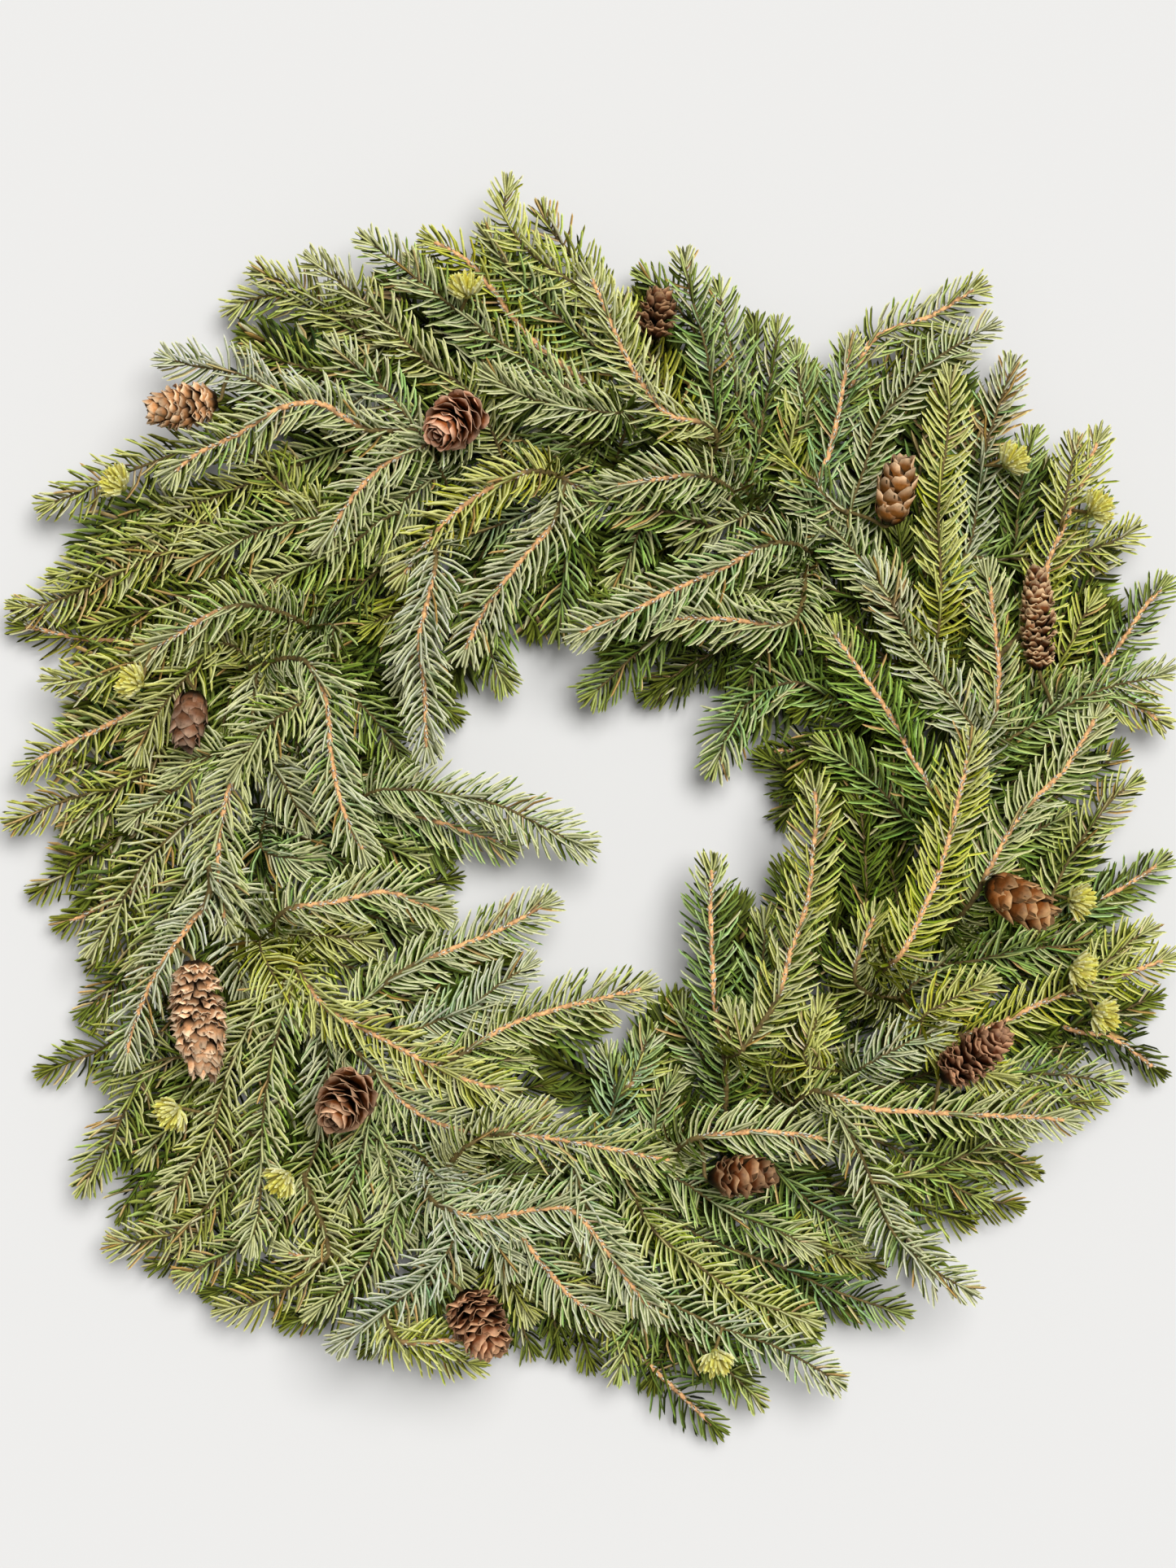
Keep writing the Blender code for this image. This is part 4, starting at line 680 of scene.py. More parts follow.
def at(line, along, places):
    """The line's values at the given distances along it."""
    return np.stack([np.interp(places, along, line[:, axis]) for axis in range(line.shape[1])], axis=-1)


def eased(values, low, high):
    """Values turned to 0 below low and 1 above high, smoothly between."""
    share = np.clip((values - low) / (high - low), 0, 1)
    return share * share * (3 - 2 * share)


def ring_place(angle):
    """Middle of the ring's wire at an angle, with the ways along it and outward."""
    corner = 360 / RING_CORNERS
    bearing = (math.floor(angle / corner) + 0.5) * corner
    radius = RING_RADIUS * math.cos(math.radians(corner / 2)) / math.cos(math.radians(angle - bearing))
    turn = math.radians(angle)
    facing = math.radians(bearing)
    middle = np.array([RING_CENTRE[0] + radius * math.cos(turn), RING_CENTRE[1] + radius * math.sin(turn),
                       RING_HEIGHT])
    return (middle, np.array([-math.sin(facing), math.cos(facing), 0.0]),
            np.array([math.cos(facing), math.sin(facing), 0.0]))


def hook_line(angle, turns, reaches=None):
    """Middle of the hook's wire at each of its turns about the ring."""
    middle, tangent, outward = ring_place(angle)
    line = []
    for turn, reach in zip(turns, [HOOK_REACH] * len(turns) if reaches is None else reaches):
        way = outward * math.cos(math.radians(turn)) + np.array([0, 0, math.sin(math.radians(turn))])
        advance = ((HOOK_TURN[0] - turn) / 360 - 0.5) * HOOK_ADVANCE
        line.append(middle + way * reach + tangent * advance)
    return np.array(line)


class Spray:
    """A needled stem: its looks, its smooth line from root to tip and the stations that it was laid by."""

    def __init__(self, looks, layer, line, lead, stations):
        words = looks.split()
        self.tint = np.array(TINTS[words[0]])
        self.barked = "bark" in words
        self.low = "low" in words
        self.layer = layer
        self.line = line
        self.lead = lead
        self.stations = stations


def whorl_places(length, lead, first):
    """Distances of the whorls from the root: even towards the tip, wide apart on the lead-in."""
    place = length - WHORL_LAST
    count = max(1, round((place - max(lead, first)) / WHORL_PITCH))
    pitch = (place - max(lead, first)) / count
    places = []
    while place > first:
        places.insert(0, place)
        place -= pitch if place - pitch > lead - 1 else LEAD_PITCH
    return places or [length * 0.6]


def lay_stations(line, lead, thick, bend):
    """Stations of a stem: its root, a leader's first bend, the edges of each whorl's band, its tip."""
    along = distances(line)
    length = along[-1]
    places = [0.0]
    for centre in whorl_places(length, lead, WHORL_FIRST if bend is None else LEADER_FIRST):
        places += [centre - WHORL_BAND / 2, centre + WHORL_BAND / 2]
    places.append(length)
    stations = list(at(line, along, places))
    radii = [thick + (STEM_THIN - thick) * place / length for place in places]
    radii[0] = STEM_ROOT
    if bend is not None:
        stations.insert(1, bend)
        radii.insert(1, thick)
    return stations, radii


def heights(points, layer, root):
    """The points of a spray with their heights, from its root on."""
    plan = np.array(points, float)
    along = distances(plan)
    part = along / along[-1]
    rise = LAYER_START[layer] + (LAYER_TIP[layer] - LAYER_START[layer]) * part ** 1.5
    return [root] + [np.array([x, y, z]) for (x, y), z in zip(plan, rise)]


def lifted(line, lift):
    """The line raised, gently from its root on, and never lowered under the lowest height for a core."""
    along = distances(line)
    share = np.clip(along / LIFT_REACH, 0, 1)
    moved = line.copy()
    moved[:, 2] = np.maximum(moved[:, 2] + lift * share * share * (3 - 2 * share),
                             np.minimum(moved[:, 2], LOWEST_CORE))
    return moved


def without_hairpin(points, root):
    """The points of a spray without those at its start that would make it double back."""
    points = list(points)
    while len(points) > 2:
        gap = np.array(points[0]) - root[:2]
        heading = np.array(points[1], float) - points[0]
        if gap @ heading > -0.2 * np.linalg.norm(gap) * np.linalg.norm(heading):
            break
        del points[0]
    return points


def lifts():
    """No lift first, then ever higher and lower ones."""
    for count in range(LIFTS):
        yield LIFT_STEP * ((count + 1) // 2) * (1 if count % 2 else -1)


def place_spray(space, branch, row, root, thick, bend=None):
    """Lay one spray from its root, raised or lowered until it is clear of what lies there."""
    looks, layer = row[:2]
    points = without_hairpin(row[2:], root)
    way_up = [] if bend is None else [root]
    line = smooth_line(way_up + heights(points, layer, root if bend is None else bend), LINE_STEP)
    line = shortened(line, END_NEEDLE)
    skipped = space.near_fork(branch, root)
    start = np.array(points[0])
    lead = distances(line)[np.argmin(np.linalg.norm(line[:, :2] - start, axis=1))]
    best = None
    for lift in lifts():
        moved = lifted(line, lift)
        stations, radii = lay_stations(moved, lead, thick, bend)
        rods = list(zip(stations[:-1], stations[1:], zip(radii[:-1], radii[1:])))
        tip = stations[-1] + unit(stations[-1] - stations[-2]) * END_NEEDLE
        rods.append((stations[-1], tip, (STEM_THIN, 0.05)))
        room = min(space.room(*rod, skipped) for rod in rods[0 if bend is None else 1:])
        if best is None or room > best[0]:
            best = (room, moved, stations, rods)
        if room > CORE_CLEAR:
            break
    _, moved, stations, rods = best
    for rod in rods:
        space.add(*rod, branch)
    return Spray(looks, layer, moved, lead, stations)


def fork_point(sprays, points, layer):
    """Where on the sprays a further one leaves them, near its start with an easy turn, after its cost."""
    start = np.array([*points[0], LAYER_START[layer]], float)
    heading = unit(np.array([*points[1], LAYER_START[layer]], float) - start)
    best = None
    for spray in sprays:
        stations = spray.stations
        for index, (a, b) in enumerate(zip(stations[:-1], stations[1:])):
            tangent = unit(b - a)
            steps = max(1, int(np.linalg.norm(b - a) // FORK_STEP))
            for step in range(steps):
                place = a + (b - a) * (step + 0.5) / steps
                if np.linalg.norm(place - stations[-1]) < FORK_FROM_TIP or (index == 0 and step < 3):
                    continue
                gap = start - place
                reach = max(np.linalg.norm(gap), 1e-6)
                way = gap / reach
                cost = (reach + FORK_NEAREST) * (TURN_COST - way @ heading - BRANCH_SHARE * way @ tangent)
                if best is None or cost < best[0]:
                    best = (cost, place)
    return best


def lay_wreath():
    """Every spray's stem, leaders first, each clear of the ring and of the other branches."""
    space = Space()
    for corner in range(RING_CORNERS):
        a = ring_place(corner * 360 / RING_CORNERS)[0]
        b = ring_place((corner + 1) * 360 / RING_CORNERS)[0]
        space.add(a, b, (RING_WIRE, RING_WIRE), -1)
    wreath = []
    for branch, (_, angle, _) in enumerate(BRANCHES):
        middle, tangent, _ = ring_place(angle)
        half = tangent * (HOOK_ADVANCE / 2 + HOOK_ROOM)
        reach = HOOK_REACH + HOOK_WIRE + HOOK_ROOM
        space.add(middle - half, middle + half, (reach, reach), branch)
        wreath.append([])
    for branch, (_, angle, rows) in enumerate(BRANCHES):
        root = hook_line(angle, HOOK_TURN[-2:]).mean(axis=0)
        start = np.array([*rows[0][2], LAYER_START[rows[0][1]]], float)
        bend = root + np.array([0, 0, LEADER_RISE]) + unit(start - root) * LEADER_START
        wreath[branch].append(place_spray(space, branch, rows[0], root, STEM_THICK, bend))
    for branch, (_, _, rows) in enumerate(BRANCHES):
        for row in sorted(rows[1:], key=lambda entry: -entry[1]):
            fork = fork_point(wreath[branch], row[2:], row[1])[1]
            wreath[branch].append(place_spray(space, branch, row, fork, FORK_THICK))
    return space, wreath


class Fitting:
    """A cone or bud: its middle and axis, the end that its stalk leaves, and its seat on a stem."""

    def __init__(self, name, middle, axis, length, width):
        self.name = name
        self.middle = middle
        self.axis = axis
        self.length = length
        self.width = width
        self.seat = None
        self.clear = BUD_CLEAR if length < BUD_HEAD else CONE_CLEAR

    def root(self):
        """The end that the stalk leaves."""
        return self.middle - self.axis * self.length / 2

    def rods(self):
        """The body as two rods that meet at its waist."""
        tip = self.middle + self.axis * self.length / 2
        full = self.width / 2
        return ((self.root(), self.middle, (full * 0.6, full)), (self.middle, tip, (full, full * 0.6)))


def settle(space, fitting):
    """Move a fitting up or down until its body is clear of the stems."""
    given = fitting.middle.copy()
    best = None
    for lift in lifts():
        fitting.middle = given + np.array([0, 0, lift])
        room = min(space.room(*rod) for rod in fitting.rods())
        if best is None or room > best[0]:
            best = (room, fitting.middle)
        if room > CORE_CLEAR:
            break
    fitting.middle = best[1]


def find_seat(space, fitting):
    """The nearest place on a stem that a straight stalk from the fitting's root reaches."""
    count = space.cores
    owned = (space.owners[:count] >= 0) & (space.radii[:count].min(axis=1) > STEM_THIN / 2)
    starts = space.starts[:count][owned]
    along = space.ends[:count][owned] - starts
    root = fitting.root()
    share = np.einsum("ij,ij->i", root - starts, along) / np.einsum("ij,ij->i", along, along)
    places = starts + np.clip(share, 0.1, 0.9)[:, None] * along
    gaps = places - root
    reach = np.linalg.norm(gaps, axis=1)
    behind = gaps @ -fitting.axis / reach
    reach = np.where((behind > 0.05) & (space.radii[:count][owned].max(axis=1) < HOOK_REACH), reach, 1e6)
    fitting.seat = places[np.argmin(reach)]


def lay_fittings(space):
    """Cones and buds, settled among the stems and seated on them."""
    cones = []
    for name, (x, y), height, bearing, slope, length, width in CONES:
        turn = math.radians(bearing)
        tilt = math.radians(slope)
        axis = np.array([math.cos(turn) * math.cos(tilt), math.sin(turn) * math.cos(tilt), math.sin(tilt)])
        cones.append(Fitting(name, np.array([x, y, height], float), axis, length, width))
    buds = [Fitting(name, np.array([x, y, height], float), np.array([0.0, 0.0, 1.0]), BUD_CORE * 2,
                    BUD_CORE * 2) for name, (x, y), height in BUDS]
    space.cores = space.count
    for fitting in cones + buds:
        settle(space, fitting)
        find_seat(space, fitting)
        for rod in fitting.rods():
            space.add(*rod, -2)
        space.add(fitting.root(), fitting.seat, (STALK, STALK), -2)
        if fitting in buds:
            head = fitting.middle + fitting.axis * BUD_CORE
            space.add(fitting.middle, head, (BUD_HEAD, BUD_HEAD * 0.7), -2)
    return cones, buds


def lay_fill(space, wreath, row):
    """A further spray on the branch that has the best place for it, clear of the fittings too."""
    forks = []
    for branch, sprays in enumerate(wreath):
        near = [spray for spray in sprays
                if np.linalg.norm(spray.line[:, :2] - row[2], axis=1).min() < FILL_REACH]
        best = fork_point(near, row[2:], row[1])
        if best is not None:
            forks.append((best[0], branch, best[1]))
    _, branch, fork = min(forks, key=lambda entry: entry[0])
    wreath[branch].append(place_spray(space, branch, row, fork, FORK_THICK))


def covered_cells(axis, line):
    """The cells of the plan, rows along Y, over which a stem's needles lie."""
    marked = np.zeros((len(axis), len(axis)), bool)
    for x, y in line[::3, :2]:
        marked |= (axis[None] - x) ** 2 + (axis[:, None] - y) ** 2 < THICKET_REACH ** 2
    return marked


def lay_thicket(space, wreath):
    """Low, dark sprays wherever few others cover the wreath's body, each along the nearest stem."""
    rng = np.random.default_rng(40)
    axis = np.arange(*THICKET_ENDS, THICKET_CELL)
    cover = sum(covered_cells(axis, spray.line).astype(int) for sprays in wreath for spray in sprays)
    lines = [spray.line for sprays in wreath for spray in sprays]
    places = np.vstack([line[:-1, :2] for line in lines])
    ways = units(np.vstack([np.diff(line[:, :2], axis=0) for line in lines]))
    inside = cover > 0
    for down in range(-1, 2):
        for right in range(-1, 2):
            inside &= np.roll(cover > 0, (down * THICKET_INSIDE, right * THICKET_INSIDE), (0, 1))
    for number in range(THICKET_SPRAYS):
        thin = (inside & (cover < THICKET_COVER)) * (THICKET_COVER - cover).clip(0)
        around = sum(np.roll(thin, (down, right), (0, 1))
                     for down in range(-2, 3) for right in range(-2, 3))
        row, column = np.unravel_index(np.argmax(around * inside), around.shape)
        spot = np.array([axis[column], axis[row]])
        way = ways[np.argmin(np.linalg.norm(places - spot, axis=1))]
        bend = np.array([-way[1], way[0]]) * rng.uniform(-THICKET_BEND, THICKET_BEND)
        looks = "green low" if number % 3 == 2 else "deep low"
        points = (spot - way * THICKET_HALF, spot + bend * 0.4, spot + way * THICKET_HALF + bend)
        lay_fill(space, wreath, (looks, 0, *(tuple(point) for point in points)))
        cover = cover + covered_cells(axis, np.array(points)[:, :2]) + covered_cells(axis, np.array([spot]))


class Shape:
    """Points with colours, and faces with material slots, gathered for one mesh."""

    def __init__(self):
        self.points = []
        self.colours = []
        self.faces = []
        self.count = 0

    def add(self, points, colours, faces, slot):
        """faces is a list of arrays, each of one number of corners, numbered from this call's first point."""
        self.points.append(points)
        self.colours.append(np.broadcast_to(colours, (len(points), 3)))
        for block in faces:
            self.faces.append((np.asarray(block) + self.count, slot))
        self.count += len(points)

    def make(self, name, materials, offset, smooth):
        """The mesh object. smooth is one value for each material slot."""
        points = (np.concatenate(self.points) + offset) * MM
        colours = np.concatenate(self.colours)
        corners = np.concatenate([block.ravel() for block, _ in self.faces])
        sizes = np.concatenate([np.full(len(block), block.shape[1]) for block, _ in self.faces])
        slots = np.concatenate([np.full(len(block), slot) for block, slot in self.faces])
        mesh = bpy.data.meshes.new(name)
        mesh.vertices.add(len(points))
        mesh.vertices.foreach_set("co", points.ravel())
        mesh.loops.add(len(corners))
        mesh.loops.foreach_set("vertex_index", corners.astype(np.int32))
        mesh.polygons.add(len(sizes))
        mesh.polygons.foreach_set("loop_start", (np.cumsum(sizes) - sizes).astype(np.int32))
        mesh.polygons.foreach_set("material_index", slots.astype(np.int32))
        mesh.polygons.foreach_set("use_smooth", np.array(smooth)[slots])
        for material in materials:
            mesh.materials.append(material)
        tint = mesh.attributes.new("tint", "FLOAT_COLOR", "POINT")
        tint.data.foreach_set("color", np.column_stack([colours, np.ones(len(colours))]).ravel())
        mesh.update(calc_edges=True)
        thing = bpy.data.objects.new(name, mesh)
        bpy.context.scene.collection.objects.link(thing)
        return thing


def stem_frames(line):
    """Unit tangent, up and side ways at each point of a stem, level where the stem is."""
    steps = units(np.diff(line, axis=0))
    tangents = units(np.vstack([steps[:1], steps[:-1] + steps[1:], steps[-1:]]))
    ups = np.zeros_like(line)
    rising = np.array([0.0, 0.0, 1.0])
    up = rising if abs(tangents[-1][2]) < 0.95 else np.array([1.0, 0.0, 0.0])
    for index in range(len(line) - 1, -1, -1):
        up = up * 0.8 + rising * 0.2
        up = unit(up - tangents[index] * (up @ tangents[index]))
        ups[index] = up
    return tangents, ups, np.cross(tangents, ups)


def add_tube(shape, line, radii, corners, slot, colours):
    """A closed tube along a line. radii is one value, one a point, or one a point and corner."""
    _, ups, sides = stem_frames(line)
    if np.ndim(radii) == 1:
        radii = radii[:, None]
    radii = np.broadcast_to(radii, (len(line), corners))
    turns = np.arange(corners) * 2 * math.pi / corners
    ways = ups[:, None] * np.cos(turns)[None, :, None] + sides[:, None] * np.sin(turns)[None, :, None]
    points = (line[:, None] + ways * radii[:, :, None]).reshape(-1, 3)
    first = np.arange(len(line) - 1)[:, None] * corners + np.arange(corners)[None]
    following = np.arange(len(line) - 1)[:, None] * corners + (np.arange(corners)[None] + 1) % corners
    walls = np.stack([first, first + corners, following + corners, following], axis=-1).reshape(-1, 4)
    start = np.arange(corners)[None]
    end = start[:, ::-1] + (len(line) - 1) * corners
    shape.add(points, np.repeat(colours, corners, axis=0) if np.ndim(colours) == 2 else colours,
              [walls, start, end], slot)


# Shares of a needle's length where its rows of points lie, with its width there: all of them, and the
# fewer that do where little is seen
NEEDLE_ROWS = ((0.0, 0.75), (0.45, 1.0), (0.88, 0.86))
PLAIN_ROWS = ((0.0, 0.85), (0.65, 1.0))


def needle_faces(rows):
    """A needle's faces: its base, its stretches and its point."""
    walls = [(row * 3 + k, row * 3 + (k + 1) % 3, row * 3 + 3 + (k + 1) % 3, row * 3 + 3 + k)
             for row in range(rows - 1) for k in range(3)]
    last = rows * 3 - 3
    point = [(last + k, last + (k + 1) % 3, last + 3) for k in range(3)]
    return np.array([(2, 1, 0)]), np.array(walls), np.array(point)


def add_needles(shape, bases, first_ways, last_ways, lengths, ridges, colours, slot, thickness=1.0,
                edge_shade=EDGE_SHADE, outline=NEEDLE_ROWS, most=BLOOM_AND_SHEEN_MOST):
    """Three-sided needles that bend from their first way to their last, each ridged on its outer side, with a
    painted highlight on the ridge and painted shade on the edges and towards the foot.
    """
    rows = []
    shades = []
    for u, width in outline:
        middle = bases + lengths[:, None] * (first_ways * (u - u * u / 2) + last_ways * u * u / 2)
        way = units(first_ways * (1 - u) + last_ways * u)
        across = units(np.cross(way, ridges))
        up = np.cross(across, way)
        half = NEEDLE_WIDTH * width * thickness / 2
        rise = NEEDLE_DEPTH * width * thickness
        rows += [middle + up * rise * 0.6, middle - up * rise * 0.4 + across * half,
                 middle - up * rise * 0.4 - across * half]
        # Painted shade: each needle darkens towards its foot, where the others shade it
        foot_shade = 0.55 + 0.45 * min(1, u / 0.45)
        shades += [max(RIDGE_HIGHLIGHT * foot_shade, 1.01), edge_shade * foot_shade, edge_shade * foot_shade]
    rows.append(bases + lengths[:, None] * (first_ways + last_ways) / 2)
    shades.append(RIDGE_HIGHLIGHT)
    points = np.stack(rows, axis=1)
    points[:, :, 2] = np.maximum(points[:, :, 2], FLOOR_GAP)
    shades = np.array(shades)[None, :, None]
    # Bloom and painted sheen: a whitish highlight added on the lit ridge only
    paleness = np.sqrt(colours[:, 1]) * colours[:, 2]
    bloom_and_sheen = np.clip(BLOOM_AND_SHEEN_GROWTH * paleness - BLOOM_AND_SHEEN_START, 0, most)[:, None] * np.array(BLOOM_AND_SHEEN)
    bloom_and_sheen[:, 0] *= np.clip((colours[:, 0] / colours[:, 1] / EVEN_RED) ** RED_LEAN, 0.75, 1.25)
    bloom_and_sheen[:, 2] *= np.clip((colours[:, 2] / colours[:, 1] / EVEN_BLUE) ** BLUE_LEAN, 0.62, 1.30)
    tones = np.minimum(colours[:, None] * shades + bloom_and_sheen[:, None] * (shades > 1), PALEST)
    starts = (np.arange(len(bases)) * (len(outline) * 3 + 1))[:, None, None]
    faces = [(starts + block[None]).reshape(-1, block.shape[1]) for block in needle_faces(len(outline))]
    shape.add(points.reshape(-1, 3), tones.reshape(-1, 3), faces, slot)


def clear_of(points, fittings):
    """Which points are clear of every fitting's body."""
    clear = np.ones(len(points), bool)
    for fitting in fittings:
        reach = np.clip((points - fitting.middle) @ fitting.axis, -fitting.length / 2, fitting.length / 2)
        spread = 1 - 0.55 * (2 * np.abs(reach) / fitting.length) ** 2
        axis_points = fitting.middle + reach[:, None] * fitting.axis
        clear &= np.linalg.norm(points - axis_points, axis=1) > fitting.width / 2 * spread + fitting.clear
    return clear


# What bends a needle up over a cone or bud that is in its way
RAISED_FIRST = np.array([0.0, 0.0, 1.0])
RAISED_LAST = np.array([0.0, 0.0, 0.15])


def needles_clear(bases, first_ways, last_ways, lengths, fittings):
    """Which needles have their middle and their tip clear of every fitting."""
    middles = bases + lengths[:, None] * (first_ways * 0.42 + last_ways * 0.08)
    tips = bases + lengths[:, None] * (first_ways + last_ways) / 2
    return clear_of(middles, fittings) & clear_of(tips, fittings)


class Stem:
    """A spray's line with the distances along it, and the ways along, up and sideways at its points."""

    def __init__(self, line):
        self.line = line
        self.along = distances(line)
        self.length = self.along[-1]
        self.tangents, self.ups, self.sides = stem_frames(line)

    def at(self, places):
        """Points, ways along and ways up at distances along the stem."""
        return (at(self.line, self.along, places), units(at(self.tangents, self.along, places)),
                units(at(self.ups, self.along, places)))


Needles = namedtuple("Needles", "bases first_ways last_ways lengths outward near_tip facing")


def leaning(tangent, outward, lean):
    """Ways that lean outward from a stem's own."""
    return tangent * np.cos(lean)[:, None] + outward * np.sin(lean)[:, None]


def add_stem(shape, rng, spray, stem):
    """A spray's stem as a rough tube, brown past its lead-in where it is barked."""
    step, corners, root_radius, rough = BARKED_STEM if spray.barked else PLAIN_STEM
    places = np.linspace(0, stem.length, max(6, int(stem.length / step)))
    thick = root_radius - STEM_TAPER * (places / stem.length)
    radii = thick[:, None] * (1 + rng.uniform(-rough, rough, (len(places), corners)))
    shown = eased(places, spray.lead, spray.lead + BARK_START)[:, None] * spray.barked
    bark = np.array(BARK) * shown + np.array(GREEN_BARK) * (1 - shown)
    dark = rng.random((len(places), 1)) < DARK_BARK_SHARE
    tone = bark * np.where(dark, DARK_BARK, rng.uniform(0.85, 1.12, (len(places), 1)))
    add_tube(shape, at(stem.line, stem.along, places), radii, corners, 1, tone)


def needle_turns(rng, spray, places):
    """The needles' turns about their stem, 0 at its upper side: most to both sides, and parted above."""
    count = len(places)
    turns = (np.arange(count) * GOLDEN + rng.normal(0, 0.3, count) + math.pi) % (2 * math.pi) - math.pi
    slant = (np.abs(turns) - math.pi / 2) / (math.pi / 2)
    turns = np.sign(turns) * (math.pi / 2) * (1 + np.sign(slant) * np.abs(slant) ** 1.45)
    covered = np.sin(places / rng.uniform(6, 11) + rng.uniform(0, 6)) * 0.5 + 0.62
    bare = np.clip((places - spray.lead) / 12, 0, 1) * rng.uniform(0, 1, count) ** 0.4 * covered.clip(0, 1)
    parting = math.radians(BARKED_PARTING if spray.barked else PLAIN_PARTING) * bare
    return np.sign(turns) * (parting + (math.pi - parting) * (np.abs(turns) / math.pi))


def stem_needles(rng, spray, stem, leader):
    """The needles all round a stem. They close and shorten towards its tip."""
    outer = np.linalg.norm(stem.line[-1, :2] - RING_CENTRE) > OUTER_TIPS
    first = LEADER_FIRST_NEEDLE if leader else FIRST_NEEDLE
    density = (NEEDLES_PER_MM * (LOWEST_DENSITY if spray.layer == 0 else 1.0)
               * (OUTER_DENSITY if outer else 1.0))
    count = int((stem.length - first) * density)
    places = first + (stem.length - first) * (np.arange(count) + rng.uniform(0, 1, count)) / count
    turns = needle_turns(rng, spray, places)
    points, tangent, up = stem.at(places)
    side = np.cross(tangent, up)
    outward = units(up * (np.cos(turns) * 0.7)[:, None] + side * np.sin(turns)[:, None])
    over = np.clip(np.cos(turns), 0, 1)
    near_tip = np.clip((stem.length - places) / 26, 0, 1)
    closing = 0.62 + 0.38 * near_tip
    spread = LOW_SPREAD if spray.low else 1.0
    leans = [np.radians(mean - upper * over + rng.normal(0, scatter, count)) * closing * spread
             for mean, upper, scatter in (FOOT_LEAN, END_LEAN)]
    skew = rng.normal(0, 0.10, (count, 3))
    lengths = (NEEDLE_LENGTH * (LOW_LENGTH if spray.low else OUTER_LENGTH if outer else 1.0)
               * (0.60 + 0.40 * near_tip ** 0.7) * (1 + rng.normal(0, 0.10, count))
               * (0.72 + 0.28 * np.clip((places - first) / 12, 0, 1)))
    # facing, the last value, is the painted shade on the stem's under side
    return Needles(points + outward * 0.7, units(leaning(tangent, outward, leans[0]) + skew * 0.4),
                   units(leaning(tangent, outward, leans[1]) + skew), lengths, outward, near_tip,
                   UNDER_SHADE + (1 - UNDER_SHADE) * eased(np.cos(turns), -0.6, 0.15))


def tip_tuft(rng, stem):
    """The tuft of short needles that closes a stem's tip."""
    order = np.arange(TUFT_NEEDLES)
    spin = order * GOLDEN + rng.uniform(0, 6)
    lean = np.radians(8 + 30 * order / TUFT_NEEDLES)
    tangent = stem.tangents[-1]
    outward = stem.ups[-1] * np.cos(spin)[:, None] + stem.sides[-1] * np.sin(spin)[:, None]
    ways = units(leaning(tangent, outward, lean))
    bases = stem.line[-1] - tangent * rng.uniform(0.5, 3, (TUFT_NEEDLES, 1))
    last_ways = units(ways + rng.normal(0, 0.1, (TUFT_NEEDLES, 3)))
    lengths = rng.uniform(*TUFT_LENGTHS, TUFT_NEEDLES)
    return Needles(bases, ways, last_ways, lengths, outward, np.zeros(TUFT_NEEDLES), np.ones(TUFT_NEEDLES))


def needle_tones(rng, spray, length, needles):
    """The needles' colours: the spray's tint in its layer's painted shade and light, with painted shade on
    the stem's under side, younger at its tip, in painted shade or dry where the tables say.
    """
    bases = needles.bases
    count = len(bases)
    brighter, warmer = np.random.default_rng(int(length * 1000)).normal(0, SPRAY_VARIATION)
    tint = spray.tint * np.exp(brighter + warmer * np.array([1.0, 0.0, -1.5]))
    shade = LAYER_SHADE[spray.layer]
    tones = tint * shade * np.exp(rng.normal(0, 0.30, (count, 1)))
    tones = tones * np.exp(rng.normal(0, 0.07, (count, 3)))
    youth = (0.42 * (1 - needles.near_tip) + rng.uniform(0, 0.12, count))[:, None]
    tones = (tones * (1 - youth) + np.array(YOUNG) * shade * youth) * needles.facing[:, None]
    # Painted shade in the shaded spots
    for spot, radius, most_shade in SHADED_SPOTS:
        spot_shading = most_shade * np.exp(-(np.linalg.norm(bases[:, :2] - spot, axis=1) / radius) ** 2)[:, None]
        tones = tones * (1 - spot_shading + spot_shading * np.array(SPOT_SHADE))
    dry = np.full(count, DRY_SHARE)
    for spot, radius, most_dry in DRY_SPOTS:
        dry = np.where(np.linalg.norm(bases[:, :2] - spot, axis=1) < radius, most_dry, dry)
    dried = (rng.random(count) < dry)[:, None]
    return np.where(dried, np.array(DRY) * rng.uniform(0.7, 1.6, (count, 1)), tones)


def cleared_ways(needles, fittings):
    """The needles' first and last ways, raised where a cone or bud is in the way, and which are kept."""
    first_ways, last_ways = needles.first_ways, needles.last_ways
    kept = needles_clear(needles.bases, first_ways, last_ways, needles.lengths, fittings)
    raised_first = units(first_ways + RAISED_FIRST)
    raised_last = units(last_ways + RAISED_LAST)
    raised = ~kept & needles_clear(needles.bases, raised_first, raised_last, needles.lengths, fittings)
    first_ways = np.where(raised[:, None], raised_first, first_ways)
    last_ways = np.where(raised[:, None], raised_last, last_ways)
    return first_ways, last_ways, kept | raised


def add_spray(shape, rng, spray, fittings, leader):
    """One spray: its stem, its needles all round it, the tuft at its tip, and a barked stem's pegs."""
    stem = Stem(spray.line)
    add_stem(shape, rng, spray, stem)
    groups = (stem_needles(rng, spray, stem, leader), tip_tuft(rng, stem))
    needles = Needles(*(np.concatenate(parts) for parts in zip(*groups)))
    tones = needle_tones(rng, spray, stem.length, needles)
    ridges = units(needles.outward + np.array([0, 0, 0.5]))
    first_ways, last_ways, kept = cleared_ways(needles, fittings)
    add_needles(shape, needles.bases[kept], first_ways[kept], last_ways[kept], needles.lengths[kept],
                ridges[kept], tones[kept], 0, LOW_THICKNESS if spray.low else 1.0,
                outline=PLAIN_ROWS if spray.low else NEEDLE_ROWS)
    if spray.barked:
        add_pegs(shape, rng, stem, spray.lead)


